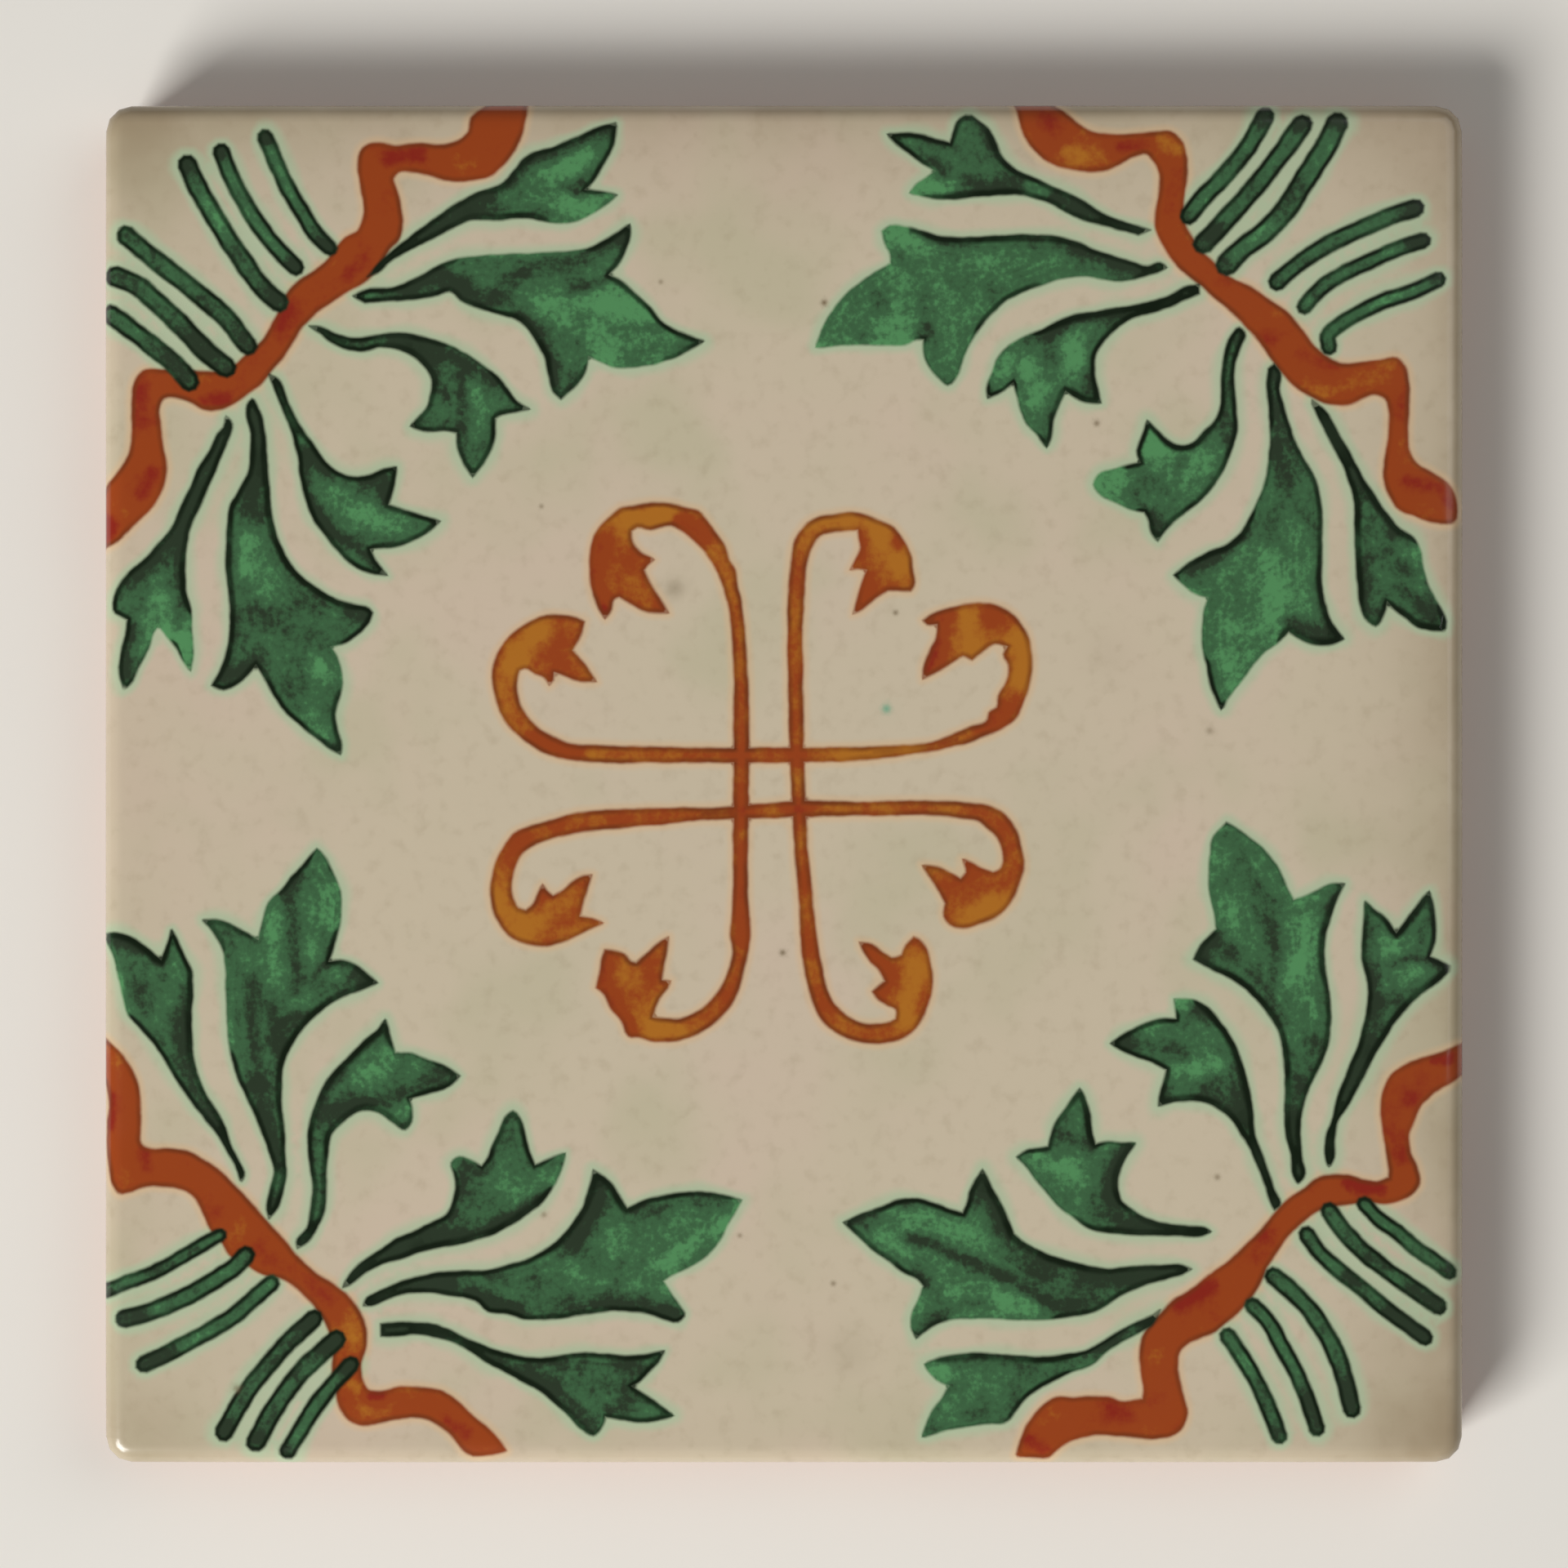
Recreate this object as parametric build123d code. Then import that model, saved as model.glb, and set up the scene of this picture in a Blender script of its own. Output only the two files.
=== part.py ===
"""Square handmade clay tile: one slab of fired earthenware, glazed and painted on its upper face.

Millimetres. The tile lies on its back. The origin is the centre of the back face, +Z points
out of the glazed face, and +Y is the upper side of the painted pattern.

The slab was rolled and cut out with a cutter, so its sides lean in a little towards the back
and its corners are slightly rounded. The face is flat in the middle and falls away gently
towards its four sides, where the glaze rolls over a soft rim. The back is plain and flat, and
its edges were eased with a sponge before firing.
"""
import os
from math import radians, tan

from build123d import *

# Driving dimensions
TILE_WIDTH = 105.0       # along X, at the rim, where the tile is widest
TILE_LENGTH = 105.0      # along Y, at the rim
TILE_THICKNESS = 8.0     # from the back to the middle of the face
CORNER_RADIUS = 2.0      # of the four corners, seen from above
SIDE_DRAFT = 2.0         # degrees that the sides lean in towards the back
CROWN_WIDTH = 14.0       # how far in from each side the face starts to fall
CROWN_DROP = 0.4         # how much the face falls from there to the middle of a side
RIM_RADIUS = 1.5         # roll of the glaze from the face into the sides
BACK_EASING = 0.6        # radius of the sponged edge round the back

# How the crowned face is laid out
CROWN_OVERHANG = 4.0     # how far the crowned surface runs past the slab before it is trimmed
CROWN_SPACING = 3.0      # widest spacing of the points that the crowned surface goes through
CROWN_TOLERANCE = 0.001  # how closely the surface follows those points


def fall(across, side):
    """Share of CROWN_DROP that the face has fallen at this distance from the middle line."""
    past = max(0.0, abs(across) - (side / 2 - CROWN_WIDTH)) / CROWN_WIDTH
    return past**3


def face_height(x, y):
    """Height of the crowned face over the back."""
    return TILE_THICKNESS - CROWN_DROP * (fall(x, TILE_WIDTH) + fall(y, TILE_LENGTH))


def stations(side):
    """Evenly spaced places across the slab and its overhang, mirrored about the middle."""
    reach = side / 2 + CROWN_OVERHANG
    steps = 2 * int(reach / CROWN_SPACING + 1)
    return [reach * (2 * i / steps - 1) for i in range(steps + 1)]


def crowned_face():
    """The face as one smooth surface that reaches past the slab on all sides."""
    rows = [
        [Vector(x, y, face_height(x, y)) for y in stations(TILE_LENGTH)]
        for x in stations(TILE_WIDTH)
    ]
    return Face.make_surface_from_array_of_points(rows, tol=CROWN_TOLERANCE)


def cut_slab():
    """The slab as the cutter leaves it, a little too thick: it widens from the back upwards."""
    widest_line = TILE_THICKNESS - CROWN_DROP - RIM_RADIUS
    lean_in = widest_line * tan(radians(SIDE_DRAFT))
    back = RectangleRounded(TILE_WIDTH - 2 * lean_in, TILE_LENGTH - 2 * lean_in, CORNER_RADIUS)
    return extrude(back, TILE_THICKNESS + RIM_RADIUS, taper=-SIDE_DRAFT)


def made_tile():
    """The whole tile: the slab trimmed by its crowned face, with its rim and back eased."""
    slab = split(cut_slab(), bisect_by=crowned_face(), keep=Keep.BOTTOM)
    face = slab.faces().sort_by(Axis.Z)[-1]
    slab = fillet(face.outer_wire().edges(), RIM_RADIUS)
    back = slab.faces().sort_by(Axis.Z)[0]
    return fillet(back.outer_wire().edges(), BACK_EASING)


tile = made_tile()
os.makedirs("parts", exist_ok=True)
export_step(tile, "parts/tile.step")
print("solids", len(tile.solids()), "valid", tile.is_valid, "volume", round(tile.volume, 1))
print("size", tile.bounding_box().size)
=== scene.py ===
"""Looks of the handmade clay tile: its glaze, its hand-painted pattern and its bare clay.

One closed piece stands for the tile. Its face is triangulated along the outlines of the painted pattern,
so that every brush line keeps its edge, and it rolls over the rim into the sides and the flat back. The
pattern is carried by the mesh as named values, such as how deep a point lies inside the green paint, and
the material turns these into glaze, brush lines, washes and halos.

Lengths are in millimetres until the mesh is made. The pattern was drawn in millimetres from the middle
of the tile, +X to the right and +Y up. In an outline, each point is x,y and a | after a point is
a sharp corner.
"""
from math import ceil, cos, pi, radians, sin, tan

import bpy
import numpy as np
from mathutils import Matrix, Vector, noise
from mathutils.geometry import delaunay_2d_cdt


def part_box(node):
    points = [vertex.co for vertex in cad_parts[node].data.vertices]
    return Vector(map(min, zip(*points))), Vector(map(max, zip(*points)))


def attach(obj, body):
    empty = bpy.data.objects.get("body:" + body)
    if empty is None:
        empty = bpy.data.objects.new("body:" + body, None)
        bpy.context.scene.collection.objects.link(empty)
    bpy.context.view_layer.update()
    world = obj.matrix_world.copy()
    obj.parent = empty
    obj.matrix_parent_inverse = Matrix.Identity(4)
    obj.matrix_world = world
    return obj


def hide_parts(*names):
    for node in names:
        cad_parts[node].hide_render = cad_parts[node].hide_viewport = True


METRES = 0.001  # of one millimetre

# Shape of the tile, as the CAD part has it
CROWN_WIDTH = 14.0       # how far in from each side the face starts to fall
CROWN_DROP = 0.4         # how much the face falls from there to the middle of a side
CORNER_RADIUS = 2.0      # of the four corners, seen from above
RIM_RADIUS = 1.5         # roll of the glaze from the face into the sides
SIDE_DRAFT = radians(2.0)   # how far the sides lean in towards the back
BACK_EASING = 0.6        # radius of the sponged edge round the back
FACE_CORNER = CORNER_RADIUS - RIM_RADIUS   # radius of the corners where the face starts to roll

# Handmade unevenness, always into the clay, never out of the CAD box
FACE_WAVE = 0.10         # depth of the slow dips in the face
SIDE_WAVE = 0.16         # depth of the dips in the sides
BACK_WAVE = 0.07         # depth of the dips in the back
SIDE_FADE = 1.0          # the sides reach the full depth of their dips this far below the roll
GLAZE_THICKNESS = 0.15   # how far bare clay lies under the glazed surface beside it
GLAZE_LAP = 3.1          # how far down the sides the glaze comes, on average
GLAZE_LAP_WAVE = 1.5     # how much that could vary either way, in slow waves
GLAZE_LAP_RIPPLE = 0.35  # how much it could vary in all, in close ripples
GLAZE_EDGE = 0.5         # height over which the glaze gives way to bare clay
PAINT_RELIEF = 0.03      # how far the fired paint stands over the glaze beside it
RELIEF_EDGE = 0.25       # width over which the paint rises to that
PAINT_SAG = 0.45         # how fast the brush lines narrow down the sides

# Width of those waves, and which noise each takes
FACE_DIPS = (24.0, 1.0)
SIDE_DIPS = (13.0, 5.0)
BACK_DIPS = (15.0, 7.0)
LAP_WAVES = (9.0, 3.0)
LAP_RIPPLES = (2.2, 8.0)

# Spacing of the mesh
LINE_STEP = 0.34         # along outlines
CAP_STEPS = 4            # round the end of a stroke
FINE_STEP = 0.52         # in and beside the paint
COARSE_SHARE = 3         # on open ground, one fine point in this many is kept each way
BORDER_STEP = 0.5        # along the border of the face
CORNER_STEPS = 3         # round each of its corners
ROLL_ROWS = 6            # down the roll of the rim
ROW_STEP = 0.5           # down the sides
EASING_ROWS = 3          # down the sponged edge
BACK_STEP = 2.4          # on the back
RINGS = (0.26, 0.52, -0.3)      # depths of the rows of points that follow each outline
RING_KEPT = 0.8          # share of its depth that a point of a row must have, or it is dropped
SPECK_RINGS = (0.6, 1.2, 1.9)   # of extra points round a speck, in shares of its radius
SPECK_POINTS = 6         # in each of those
INNER_CLEARANCE = 0.75   # free points keep this far from outlines, inside the paint
OUTER_CLEARANCE = 0.55   # and outside it
RING_INSET = 0.12        # no point lies nearer to the border of the face than this
FINE_MARGIN = 1.5        # how far past the paint the mesh stays fine
REACH = 3.0              # how far from an outline its depth is worked out
MERGE = 1e-4             # points closer than this are one

# Map for baking, in shares of its width
MAP_FACE = 0.785         # side of the square that the face and its roll take
MAP_GAP = 0.005          # between its parts

# Green leaves: each outline starts at the end of its stem
LEAVES = (
    # Upper left, from the top round to the left
    """-32.1,39.1 | -31.3,40.1 -30.3,41 -29,42 -27,43.5 -25.2,44.75 -23.3,45.7 -21.8,46.2 -20.8,47.25 -20,48.2
    -19.6,48.5 -17.7,49.1 -15.7,50 -14,50.7 -12.9,51 | -13,50.2 -13.3,49 -14,47.7 -14.8,46.4 -15.4,45.8 |
    -14.5,45.7 -12.9,45.4 | -14,44.5 -15.3,43.75 -16.8,43.3 -18.3,43.4 -20,43.7 -22,43.5 -24.2,43.5 -25.5,42.9
    -27,42.1 -29,41.1 -30.3,40.3 -31.3,39.4""",
    """-33.2,37.6 | -32.2,38.1 -30.3,38.25 -28.6,38.9 -26.7,39.9 -25,40.5 -23,40.7 -20.7,40.8 -18.3,40.9
    -15.8,41.1 -14.5,41.5 -13,42.4 -11.9,43.1 | -11.9,42.2 -12.3,41 -13,39.8 -13.5,39.25 | -12.7,38.8
    -11.5,37.8 -10.3,36.7 -9.3,35.5 -7.8,34.7 -6.25,34.1 | -7.7,33.25 -9.3,32.6 -11.2,32.2 -13.2,32.2
    -14.2,32.6 -15.1,33 | -15.3,32 -16,30.8 -17.2,29.7 | -17.7,30.2 -18.1,31.5 -18.4,32.8 -19,34 -19.8,35.2
    -20.7,35.9 -22.2,36.3 -23.7,36.75 -24.7,37.2 -25.8,38 -26.7,37.7 -28.3,37.4 -30,37.25 -32.3,37.1 |""",
    """-36.6,35.3 | -35.7,35.25 -34.3,34.6 -33,34.4 -31.5,34.6 -30,34.75 -28.5,34.6 -27,34.2 -25.7,33.75
    -24.5,33.1 -23.3,32.3 -22,31.3 -21.2,30.2 -20.5,29.4 -19.6,28.9 | -20.7,28.7 -22,28.4 -22.3,28.2 |
    -22.3,27 -22.6,25.8 -23.2,24.7 -24,23.7 | -24.5,24.5 -25.1,25.7 -25.2,27.1 | -26.2,27.25 -27.8,27.25
    -28.75,27.6 | -28.2,28.2 -27.5,29 -27.2,30 -27.1,31.2 -27.7,32.2 -28.3,32.8 -29.2,33.3 -30,33.6 -31,33.7
    -32.3,33.4 -33.7,33.5 -35,34.1 -35.8,34.75 |""",
    """-39.7,31.6 | -39,31.2 -38.3,29.7 -37.7,28.3 -36.9,27 -36.2,26 -35.3,24.8 -34.3,24 -33.2,23.6 -32,23.75
    -30.8,24.25 -29.9,24.4 | -30,23.5 -30.25,22.5 -30.5,21.5 | -29.3,21.1 -28,20.7 -26.5,20.25 | -27.5,19.4
    -28.7,18.75 -30,18.3 -31.3,18.2 -31.9,18.1 | -31.5,17.2 -30.6,16.1 | -31.8,16.3 -33.2,16.9 -34.2,17.8
    -35.2,19 -36.2,20.3 -36.8,21.8 -37.25,23.7 -37.5,25.3 -37.9,27 -38.5,28.5 -39.2,30.2 |""",
    """-41,29.7 -40.5,29 -40,27 -39.9,25.3 -39.7,22.7 -39.5,20.5 -39,18.8 -38.3,17.3 -37.5,16.2 -36.2,15.2
    -34.7,14.3 -33.2,13.8 -32,13.5 -31.75,13.2 | -32,12.5 -32.8,11.6 -33.8,10.9 -35,10.6 | -34.6,10 -34.2,9
    -34.1,7.8 -34.3,6.7 -34.6,5.3 -34.5,4.2 -34.1,3 -34.2,2.3 | -35,2.75 -36,3.5 -37.3,4.6 -38.5,5.7 -39.3,6.8
    -40,8.2 -40.7,9.25 | -41.3,8.5 -42.2,7.7 -43.2,7.3 -44.1,7.6 | -43.5,8.7 -43,10 -42.7,11.7 -42.7,13.7
    -42.9,15.7 -43,17.8 -42.9,19.8 -42.7,21.3 -42,22.7 -41.3,24 -41.1,25.3 -41.1,27 -41.4,29.2""",
    """-43,28.35 -42.6,28 -42.95,26.2 -43.65,24.6 -44.4,22.9 -45.15,21.2 -45.8,19.7 -46.15,18
    -46.2,16.2 -46.1,14.7 -45.75,13.3 -45.7,11.7 -45.6,10 -45.75,8.75 | -46.3,9.5 -46.8,10.5
    -47.5,11.3 -48.2,12.3 | -48.6,11.7 -49,10.5 -49.7,9.2 -50.25,8 -50.9,7.25 | -51.25,8.7 -51.1,10.2
    -50.75,11.5 -50.6,12.7 | -51.2,13 -51.75,13.3 | -51.75,14.2 -51.25,15.3 -50.5,16.3 -49.3,17.3
    -48.2,18.5 -47.2,19.8 -46.5,21.3 -45.8,22.8 -45.2,24.2 -44.3,25.7 -43.7,27 -43.25,27.5""",
    # Upper right, from the top round to the right
    """28.25,42.7 | 27.3,43 25.7,43.5 24,44.3 22.5,45.25 20.7,46 19,46.8 17.8,47.4 16.8,48.4 16.3,49.5
    15.7,50.5 14.8,51.25 14.25,51.7 | 13.5,51.2 13.1,50.25 12.8,49.4 | 11.8,49.7 10.7,50 9.3,50.2
    8,50.1 | 8.7,49.4 9.8,48.5 10.8,47.8 11.75,47.25 | 11,46.7 10.3,46.2 9.75,45.6 | 11,45.25
    12.7,45.1 14.3,45.25 16,45.4 17.7,45.5 19,45.3 20.7,44.7 22.3,43.8 24,43.25 25.7,42.8 27.3,42.3 |""",
    """29.5,39.8 | 29,40.2 28,39.95 26.8,40.25 25.3,40.75 24,41.1 22.7,41.7 21.3,42.1 19.7,42.25 17.8,42.3
    16.3,42.2 14.7,42.1 13,42.1 11.5,42.3 10.3,42.7 9.2,42.9 8.2,43 7.6,42.6 | 7.8,41.7 8.25,40.8 8.25,40.1 |
    7.2,39.5 6,38.7 4.8,37.7 4,36.7 3.2,35.5 2.5,33.7 | 3.5,33.75 5,33.9 8,33.9 9.3,33.9 10.2,34.3 10.8,34.3 |
    10.8,33.3 11.2,32.2 12,31.3 12.6,30.8 13.3,31.5 13.7,32.7 14.3,34 15.2,35.3 16,36.3 17,37.2 18.3,37.9
    19.8,38.5 21.5,39 23.2,39.2 24.8,38.9 26.2,38.8 27.7,39.1 28.8,39.4""",
    """32,38.5 | 30.8,38.3 30,37.8 28.7,37.3 27.2,36.95 24.8,36.5 22.3,36.1 21,35.6 19.8,35 18.5,34.4
    17.3,33.7 16.5,32.7 16,31.5 15.7,30.5 15.7,29.75 | 16.7,30.2 17.7,31 | 18,30 18.3,28.8 18.8,27.7
    19.5,27 20.25,26 | 20.6,27 20.7,28 21.2,29.3 21.7,30.3 | 22.5,29.8 23.3,29.5 24.4,29.4 | 24.1,30.5
    23.9,31.7 24,33 24.5,34 25.5,35 26.8,35.85 28.3,36.3 30.2,37 32,37.8 |""",
    """35.1,35.2 35.5,34.8 35.2,33.7 34.75,32.2 34.7,30.7 34.8,29.2 34.85,27 34.5,25.8 34,24.5 33.2,23.2
    32.2,22 31,21 30,20.25 29.5,19.7 28.8,18.75 | 28.4,19.3 28.1,20.3 27.8,21 | 26.7,21.2 25.7,21.7 24.5,22.3
    23.9,23.1 24.25,23.8 25.5,24.25 26.7,24.6 27.5,24.75 | 27.25,25.7 27.5,26.5 28,28 | 28.8,27.2 29.5,26.5
    30.3,26.1 31.5,26.25 32.3,27.1 33,27.7 33.6,28.8 33.7,30.5 33.75,32 34,33.3 34.4,34.5""",
    """37.8,32.4 | 38.3,31.7 38.2,30.5 38.5,29.2 38.9,27.8 39.8,25.5 40.7,24 41.2,22.5 41.4,20.8 41.4,17.3
    41.4,15.5 41.7,13.8 42.3,12.3 43.1,11.2 | 42,10.75 40.7,10.8 39.7,11.25 38.9,11.8 | 38.5,11.4 37.8,10.75
    37,10.2 36,9 35.2,8 34.3,6.8 33.7,5.8 | 33.1,7 32.7,8.7 32.4,10.2 32.3,11.7 32.4,13.2 32.75,14.4 |
    32,14.6 31,15.2 30.1,16.1 | 31.5,17.2 32.8,17.9 34.2,18.4 35.2,19.3 36,20.7 36.7,22.2 37.2,23.7 37.4,25.3
    37.5,27 37.4,28.8 37.25,30.5 37.3,32 |""",
    """40.7,29.6 | 41.7,28.8 42.7,27.2 43.5,25.7 44.3,24.2 45.2,22.7 46.2,21.2 47.3,19.8 48.5,19 49,18
    49.25,16.7 49.8,15 50.5,13.7 51.1,12.5 51,11.8 | 49.8,11.9 48.7,12.25 47.7,13 46.8,13.75 46.5,14.1 |
    46.25,13.2 45.6,12.2 44.8,12.8 44.4,14 44.25,15.7 44.1,17.7 44,19.7 44,21.3 43.75,22.7 43.2,24.3
    42.5,25.7 41.8,27 41.3,28 40.7,29.3 |""",
    # Lower left, from the left round to the bottom
    """-41.8,-30.6 -42.3,-29.5 -43,-28.2 -43.7,-27 -44.7,-25.7 -45.8,-24.3 -46.8,-22.8 -47.7,-21.3 -48.7,-19.8
    -49.7,-18.7 -50.5,-17.8 -50.9,-16.5 -51.3,-14.8 -51.7,-13.3 -52.2,-12.3 -52.5,-11.7 | -51.8,-11.5
    -50.7,-11.7 -49.7,-12.2 -48.7,-13 -48,-13.6 | -47.7,-12.8 -47.4,-12 -47.2,-11.3 | -46.75,-12.2
    -46.2,-13.3 -45.7,-14.5 -45.6,-16 -45.7,-17.7 -45.7,-19.3 -45.6,-20.8 -45.3,-22.2 -44.7,-23.7 -43.8,-25.2
    -43,-26.5 -42.7,-27.7 -42,-29 -41.6,-30.2""",
    """-39.7,-33.5 | -39.9,-32.8 -39.6,-31.2 -39.3,-29.9 -39.7,-28.3 -40.2,-27 -40.7,-25.7 -41.3,-24.3
    -42,-22.8 -42.5,-21.2 -42.8,-19.3 -42.9,-17.3 -43,-15.5 -43,-14 -43.25,-12.7 -43.8,-11.7 -44.75,-10.5 |
    -43.8,-10.5 -42.7,-10.8 -41.7,-11.4 -40.5,-12 | -40.25,-11 -40,-10 -39.7,-9.2 -38.8,-8.3 -38,-7.2
    -37,-6.2 -36,-5 | -35.3,-5.8 -34.75,-7 -34.25,-8.3 -34.2,-9.8 -34.4,-11.3 -34.8,-12.7 -35.1,-13.7 |
    -34.2,-13.6 -33.2,-13.9 -32.2,-14.6 -31.4,-15.3 | -32.5,-15.8 -33.7,-16.25 -34.8,-16.8 -36,-17.7
    -37,-18.7 -37.8,-19.8 -38.5,-21.3 -38.75,-23 -38.75,-24.8 -38.5,-27 -38.5,-28.7 -38.4,-30.3 -38.7,-31.7
    -39,-32.7""",
    """-37.5,-35.8 | -37.6,-35.3 -36.8,-34.2 -36.5,-32.7 -36.3,-31.2 -36.5,-29.5 -36.7,-28 -36.5,-26
    -36.1,-24.7 -35.5,-23.3 -34.5,-22 -33.3,-20.8 -32.2,-19.7 -31.3,-19 -30.75,-18.2 | -30.5,-19 -30.25,-20
    -30,-20.8 | -29,-20.75 -27.5,-21.25 -26.2,-21.75 -25,-22.5 | -25.8,-23.25 -27.2,-23.75 -28.9,-24.25 |
    -28.7,-25 -28.75,-26 -29.2,-26.6 -30.2,-26 -31.2,-25.3 -32.2,-25.1 -33.2,-25.4 -34.2,-26.2 -34.9,-27
    -35.2,-28.5 -35.3,-30 -35.3,-31.7 -35.5,-33.2 -36,-34.3 -36.7,-35.3""",
    """-34,-38.8 | -33.8,-38.3 -33,-37.2 -31.5,-36.2 -29.9,-35.1 -28.5,-34.5 -27.2,-33.8 -26,-33.2 -25.5,-32.2
    -25.25,-31 -25.4,-30 -25.6,-29.2 -25,-28.8 -24.2,-29 -23.3,-29.5 | -22.8,-28.8 -22.4,-27.8 -21.9,-26.7
    -21.3,-25.5 -20.9,-25.25 -20.4,-25.7 -20,-26.8 -19.75,-28 -19.2,-29.4 | -18.3,-29 -16.9,-28.5 |
    -17.2,-29.7 -17.7,-30.8 -18.5,-32 -19.7,-33 -21,-33.9 -22.3,-34.6 -23.8,-35.1 -25.3,-35.5 -27,-35.8
    -28.5,-36.2 -30,-36.7 -31,-37 -32.3,-37.7 -33.3,-38.5""",
    """-32.4,-40.2 | -32.3,-39.8 -31,-39 -29.9,-38.5 -28.3,-38 -26.7,-37.7 -24.8,-37.6 -22.8,-37.5 -21.2,-37.1
    -19.7,-36.6 -18.3,-35.9 -17.2,-35 -16.2,-33.8 -15.5,-32.7 -15.1,-31.5 -14.8,-30.3 -14.7,-29.75 |
    -13.9,-30.25 -13.2,-31 -12.7,-31.8 -12.1,-32.75 | -10.7,-32.1 -9.3,-31.75 -7.7,-31.5 -6,-31.5 -4.5,-31.75
    -3.3,-32.1 | -3.7,-32.8 -4.3,-33.8 -5,-35.2 -6.2,-36.5 -7.5,-37.3 -8.7,-37.8 -9.4,-38.3 | -8.8,-39.2
    -8.2,-40.1 -7.7,-41 -8.2,-41.4 -9.2,-41.2 -10.5,-40.8 -12,-40.6 -13.7,-40.6 -15.3,-40.8 -17,-41.1
    -18.5,-41.2 -20,-41.2 -21.3,-40.8 -22.8,-40.6 -23.8,-39.8 -25.2,-39.5 -26.3,-39.3 -27.8,-39.2 -29.2,-39.3
    -30.7,-39.75 -31.8,-40.25""",
    """-31.1,-41.6 | -29.7,-41.5 -28.5,-41.5 -27.2,-41.6 -25.8,-42.1 -24.5,-42.75 -23,-43.4
    -21.7,-43.8 -20.3,-44.2 -18.8,-44.3 -17.3,-44.1 -15.5,-43.9 -13.7,-44 -12,-44.1 -10.5,-44
    -9.25,-43.7 | -9.7,-44.5 -10.5,-45.4 -11.5,-46.25 -11.8,-46.4 | -10.8,-47.1 -9.8,-47.75 -8.6,-48.7
    | -9.7,-49 -11,-49.2 -12.5,-49 -13.8,-48.75 | -14,-49.5 -14.7,-50.25 -15.5,-49.8 -16.5,-48.8
    -17.5,-47.8 -18.7,-46.8 -20,-46.1 -21.3,-45.4 -22.7,-44.7 -24,-43.8 -25.3,-43.1 -26.8,-42.6
    -28.5,-42.4 -30,-42.6 -31.1,-42.6 |""",
    # Lower right, from the right round to the bottom
    """42,-29.5 41.7,-28.8 41.8,-27 42.3,-25.7 42.8,-23.8 43.5,-22 44.2,-20.3 44.7,-18.7 45,-17 45,-15.3
    44.7,-14 44.6,-12.3 44.7,-10.7 44.8,-9.1 | 45.5,-9.7 46.3,-10.3 47.2,-11.5 | 47.8,-10.7 48.7,-9.5
    49.75,-8.3 | 50.1,-9.5 50.2,-11 50.1,-12.5 49.8,-13.3 | 50.7,-13.7 51.4,-14.2 | 50.5,-15.2 49.3,-16
    48.2,-17 47.2,-18.2 46.2,-19.7 45.3,-21.3 44.3,-23.2 43.5,-24.7 42.7,-26 42.45,-27.5 42.4,-28.8""",
    """39.6,-30.8 39.25,-30.2 39.1,-28.7 38.7,-27 38.6,-25.2 38.7,-23.5 38.6,-21.7 38.4,-20 38,-18.7
    37.2,-17.5 36.2,-16.3 35,-15.3 33.7,-14.6 32.5,-14 31.6,-13.5 | 32,-12.7 32.8,-11.75 33.4,-11.2 | 33.2,-10
    32.9,-8.5 32.8,-6.8 32.9,-5.3 33.2,-4 34.1,-3 | 35,-3.6 36.3,-4.5 37.5,-5.7 38.3,-7 38.8,-8.2 39.25,-9 |
    40,-8.75 41.2,-8.2 42.2,-7.75 43.2,-7.7 | 42.75,-8.5 42.2,-10 41.75,-11.5 41.6,-13 41.75,-14.7 42,-16.3
    42.1,-18 42,-19.5 41.7,-20.8 41,-22.3 40.3,-23.8 39.9,-25.3 39.8,-27 39.9,-28.7 40.1,-30.3""",
    """37.8,-32.8 | 37.5,-32.3 37,-30.7 36.3,-29 35.7,-27.7 35.2,-27 34.5,-25.8 33.8,-25.2 32.8,-24.6
    31.5,-24.4 30,-24.5 28.9,-24.8 | 29,-23.8 29.3,-22.8 29.5,-22 | 28.3,-21.4 27.2,-21 26,-20.5 25.2,-20 |
    26.2,-19.3 27.3,-18.7 28.7,-18.2 30.25,-18.1 | 30.2,-17.3 30.1,-16.6 | 30.8,-16.6 31.8,-16.75 32.7,-17.3
    33.5,-18.2 34.3,-19.3 35,-20.7 35.5,-22.2 35.8,-23.5 36.1,-25.2 36.3,-27 37,-29 37.7,-31 38.2,-32.5""",
    """32.9,-34.5 | 32.4,-34.2 31.3,-34.1 29.8,-33.9 28.7,-33.75 27.7,-33.4 26.7,-32.8 25.9,-32
    25.7,-31 25.9,-29.8 26.4,-28.7 27,-27.7 | 26,-27.7 25,-27.6 24,-27.8 | 23.75,-27 23.6,-25.7
    23.3,-24.5 22.8,-23.5 | 22.2,-24.3 21.5,-25.3 20.8,-26.5 20.4,-28 | 19.5,-28.1 18.7,-28.25
    18,-28.75 | 18.7,-29.5 19.5,-30.5 20.3,-31.5 21.2,-32.5 22.2,-33.3 23.3,-34.1 24.7,-34.5
    26.3,-34.7 28.2,-34.75 30,-34.8 32.2,-34.8""",
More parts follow.
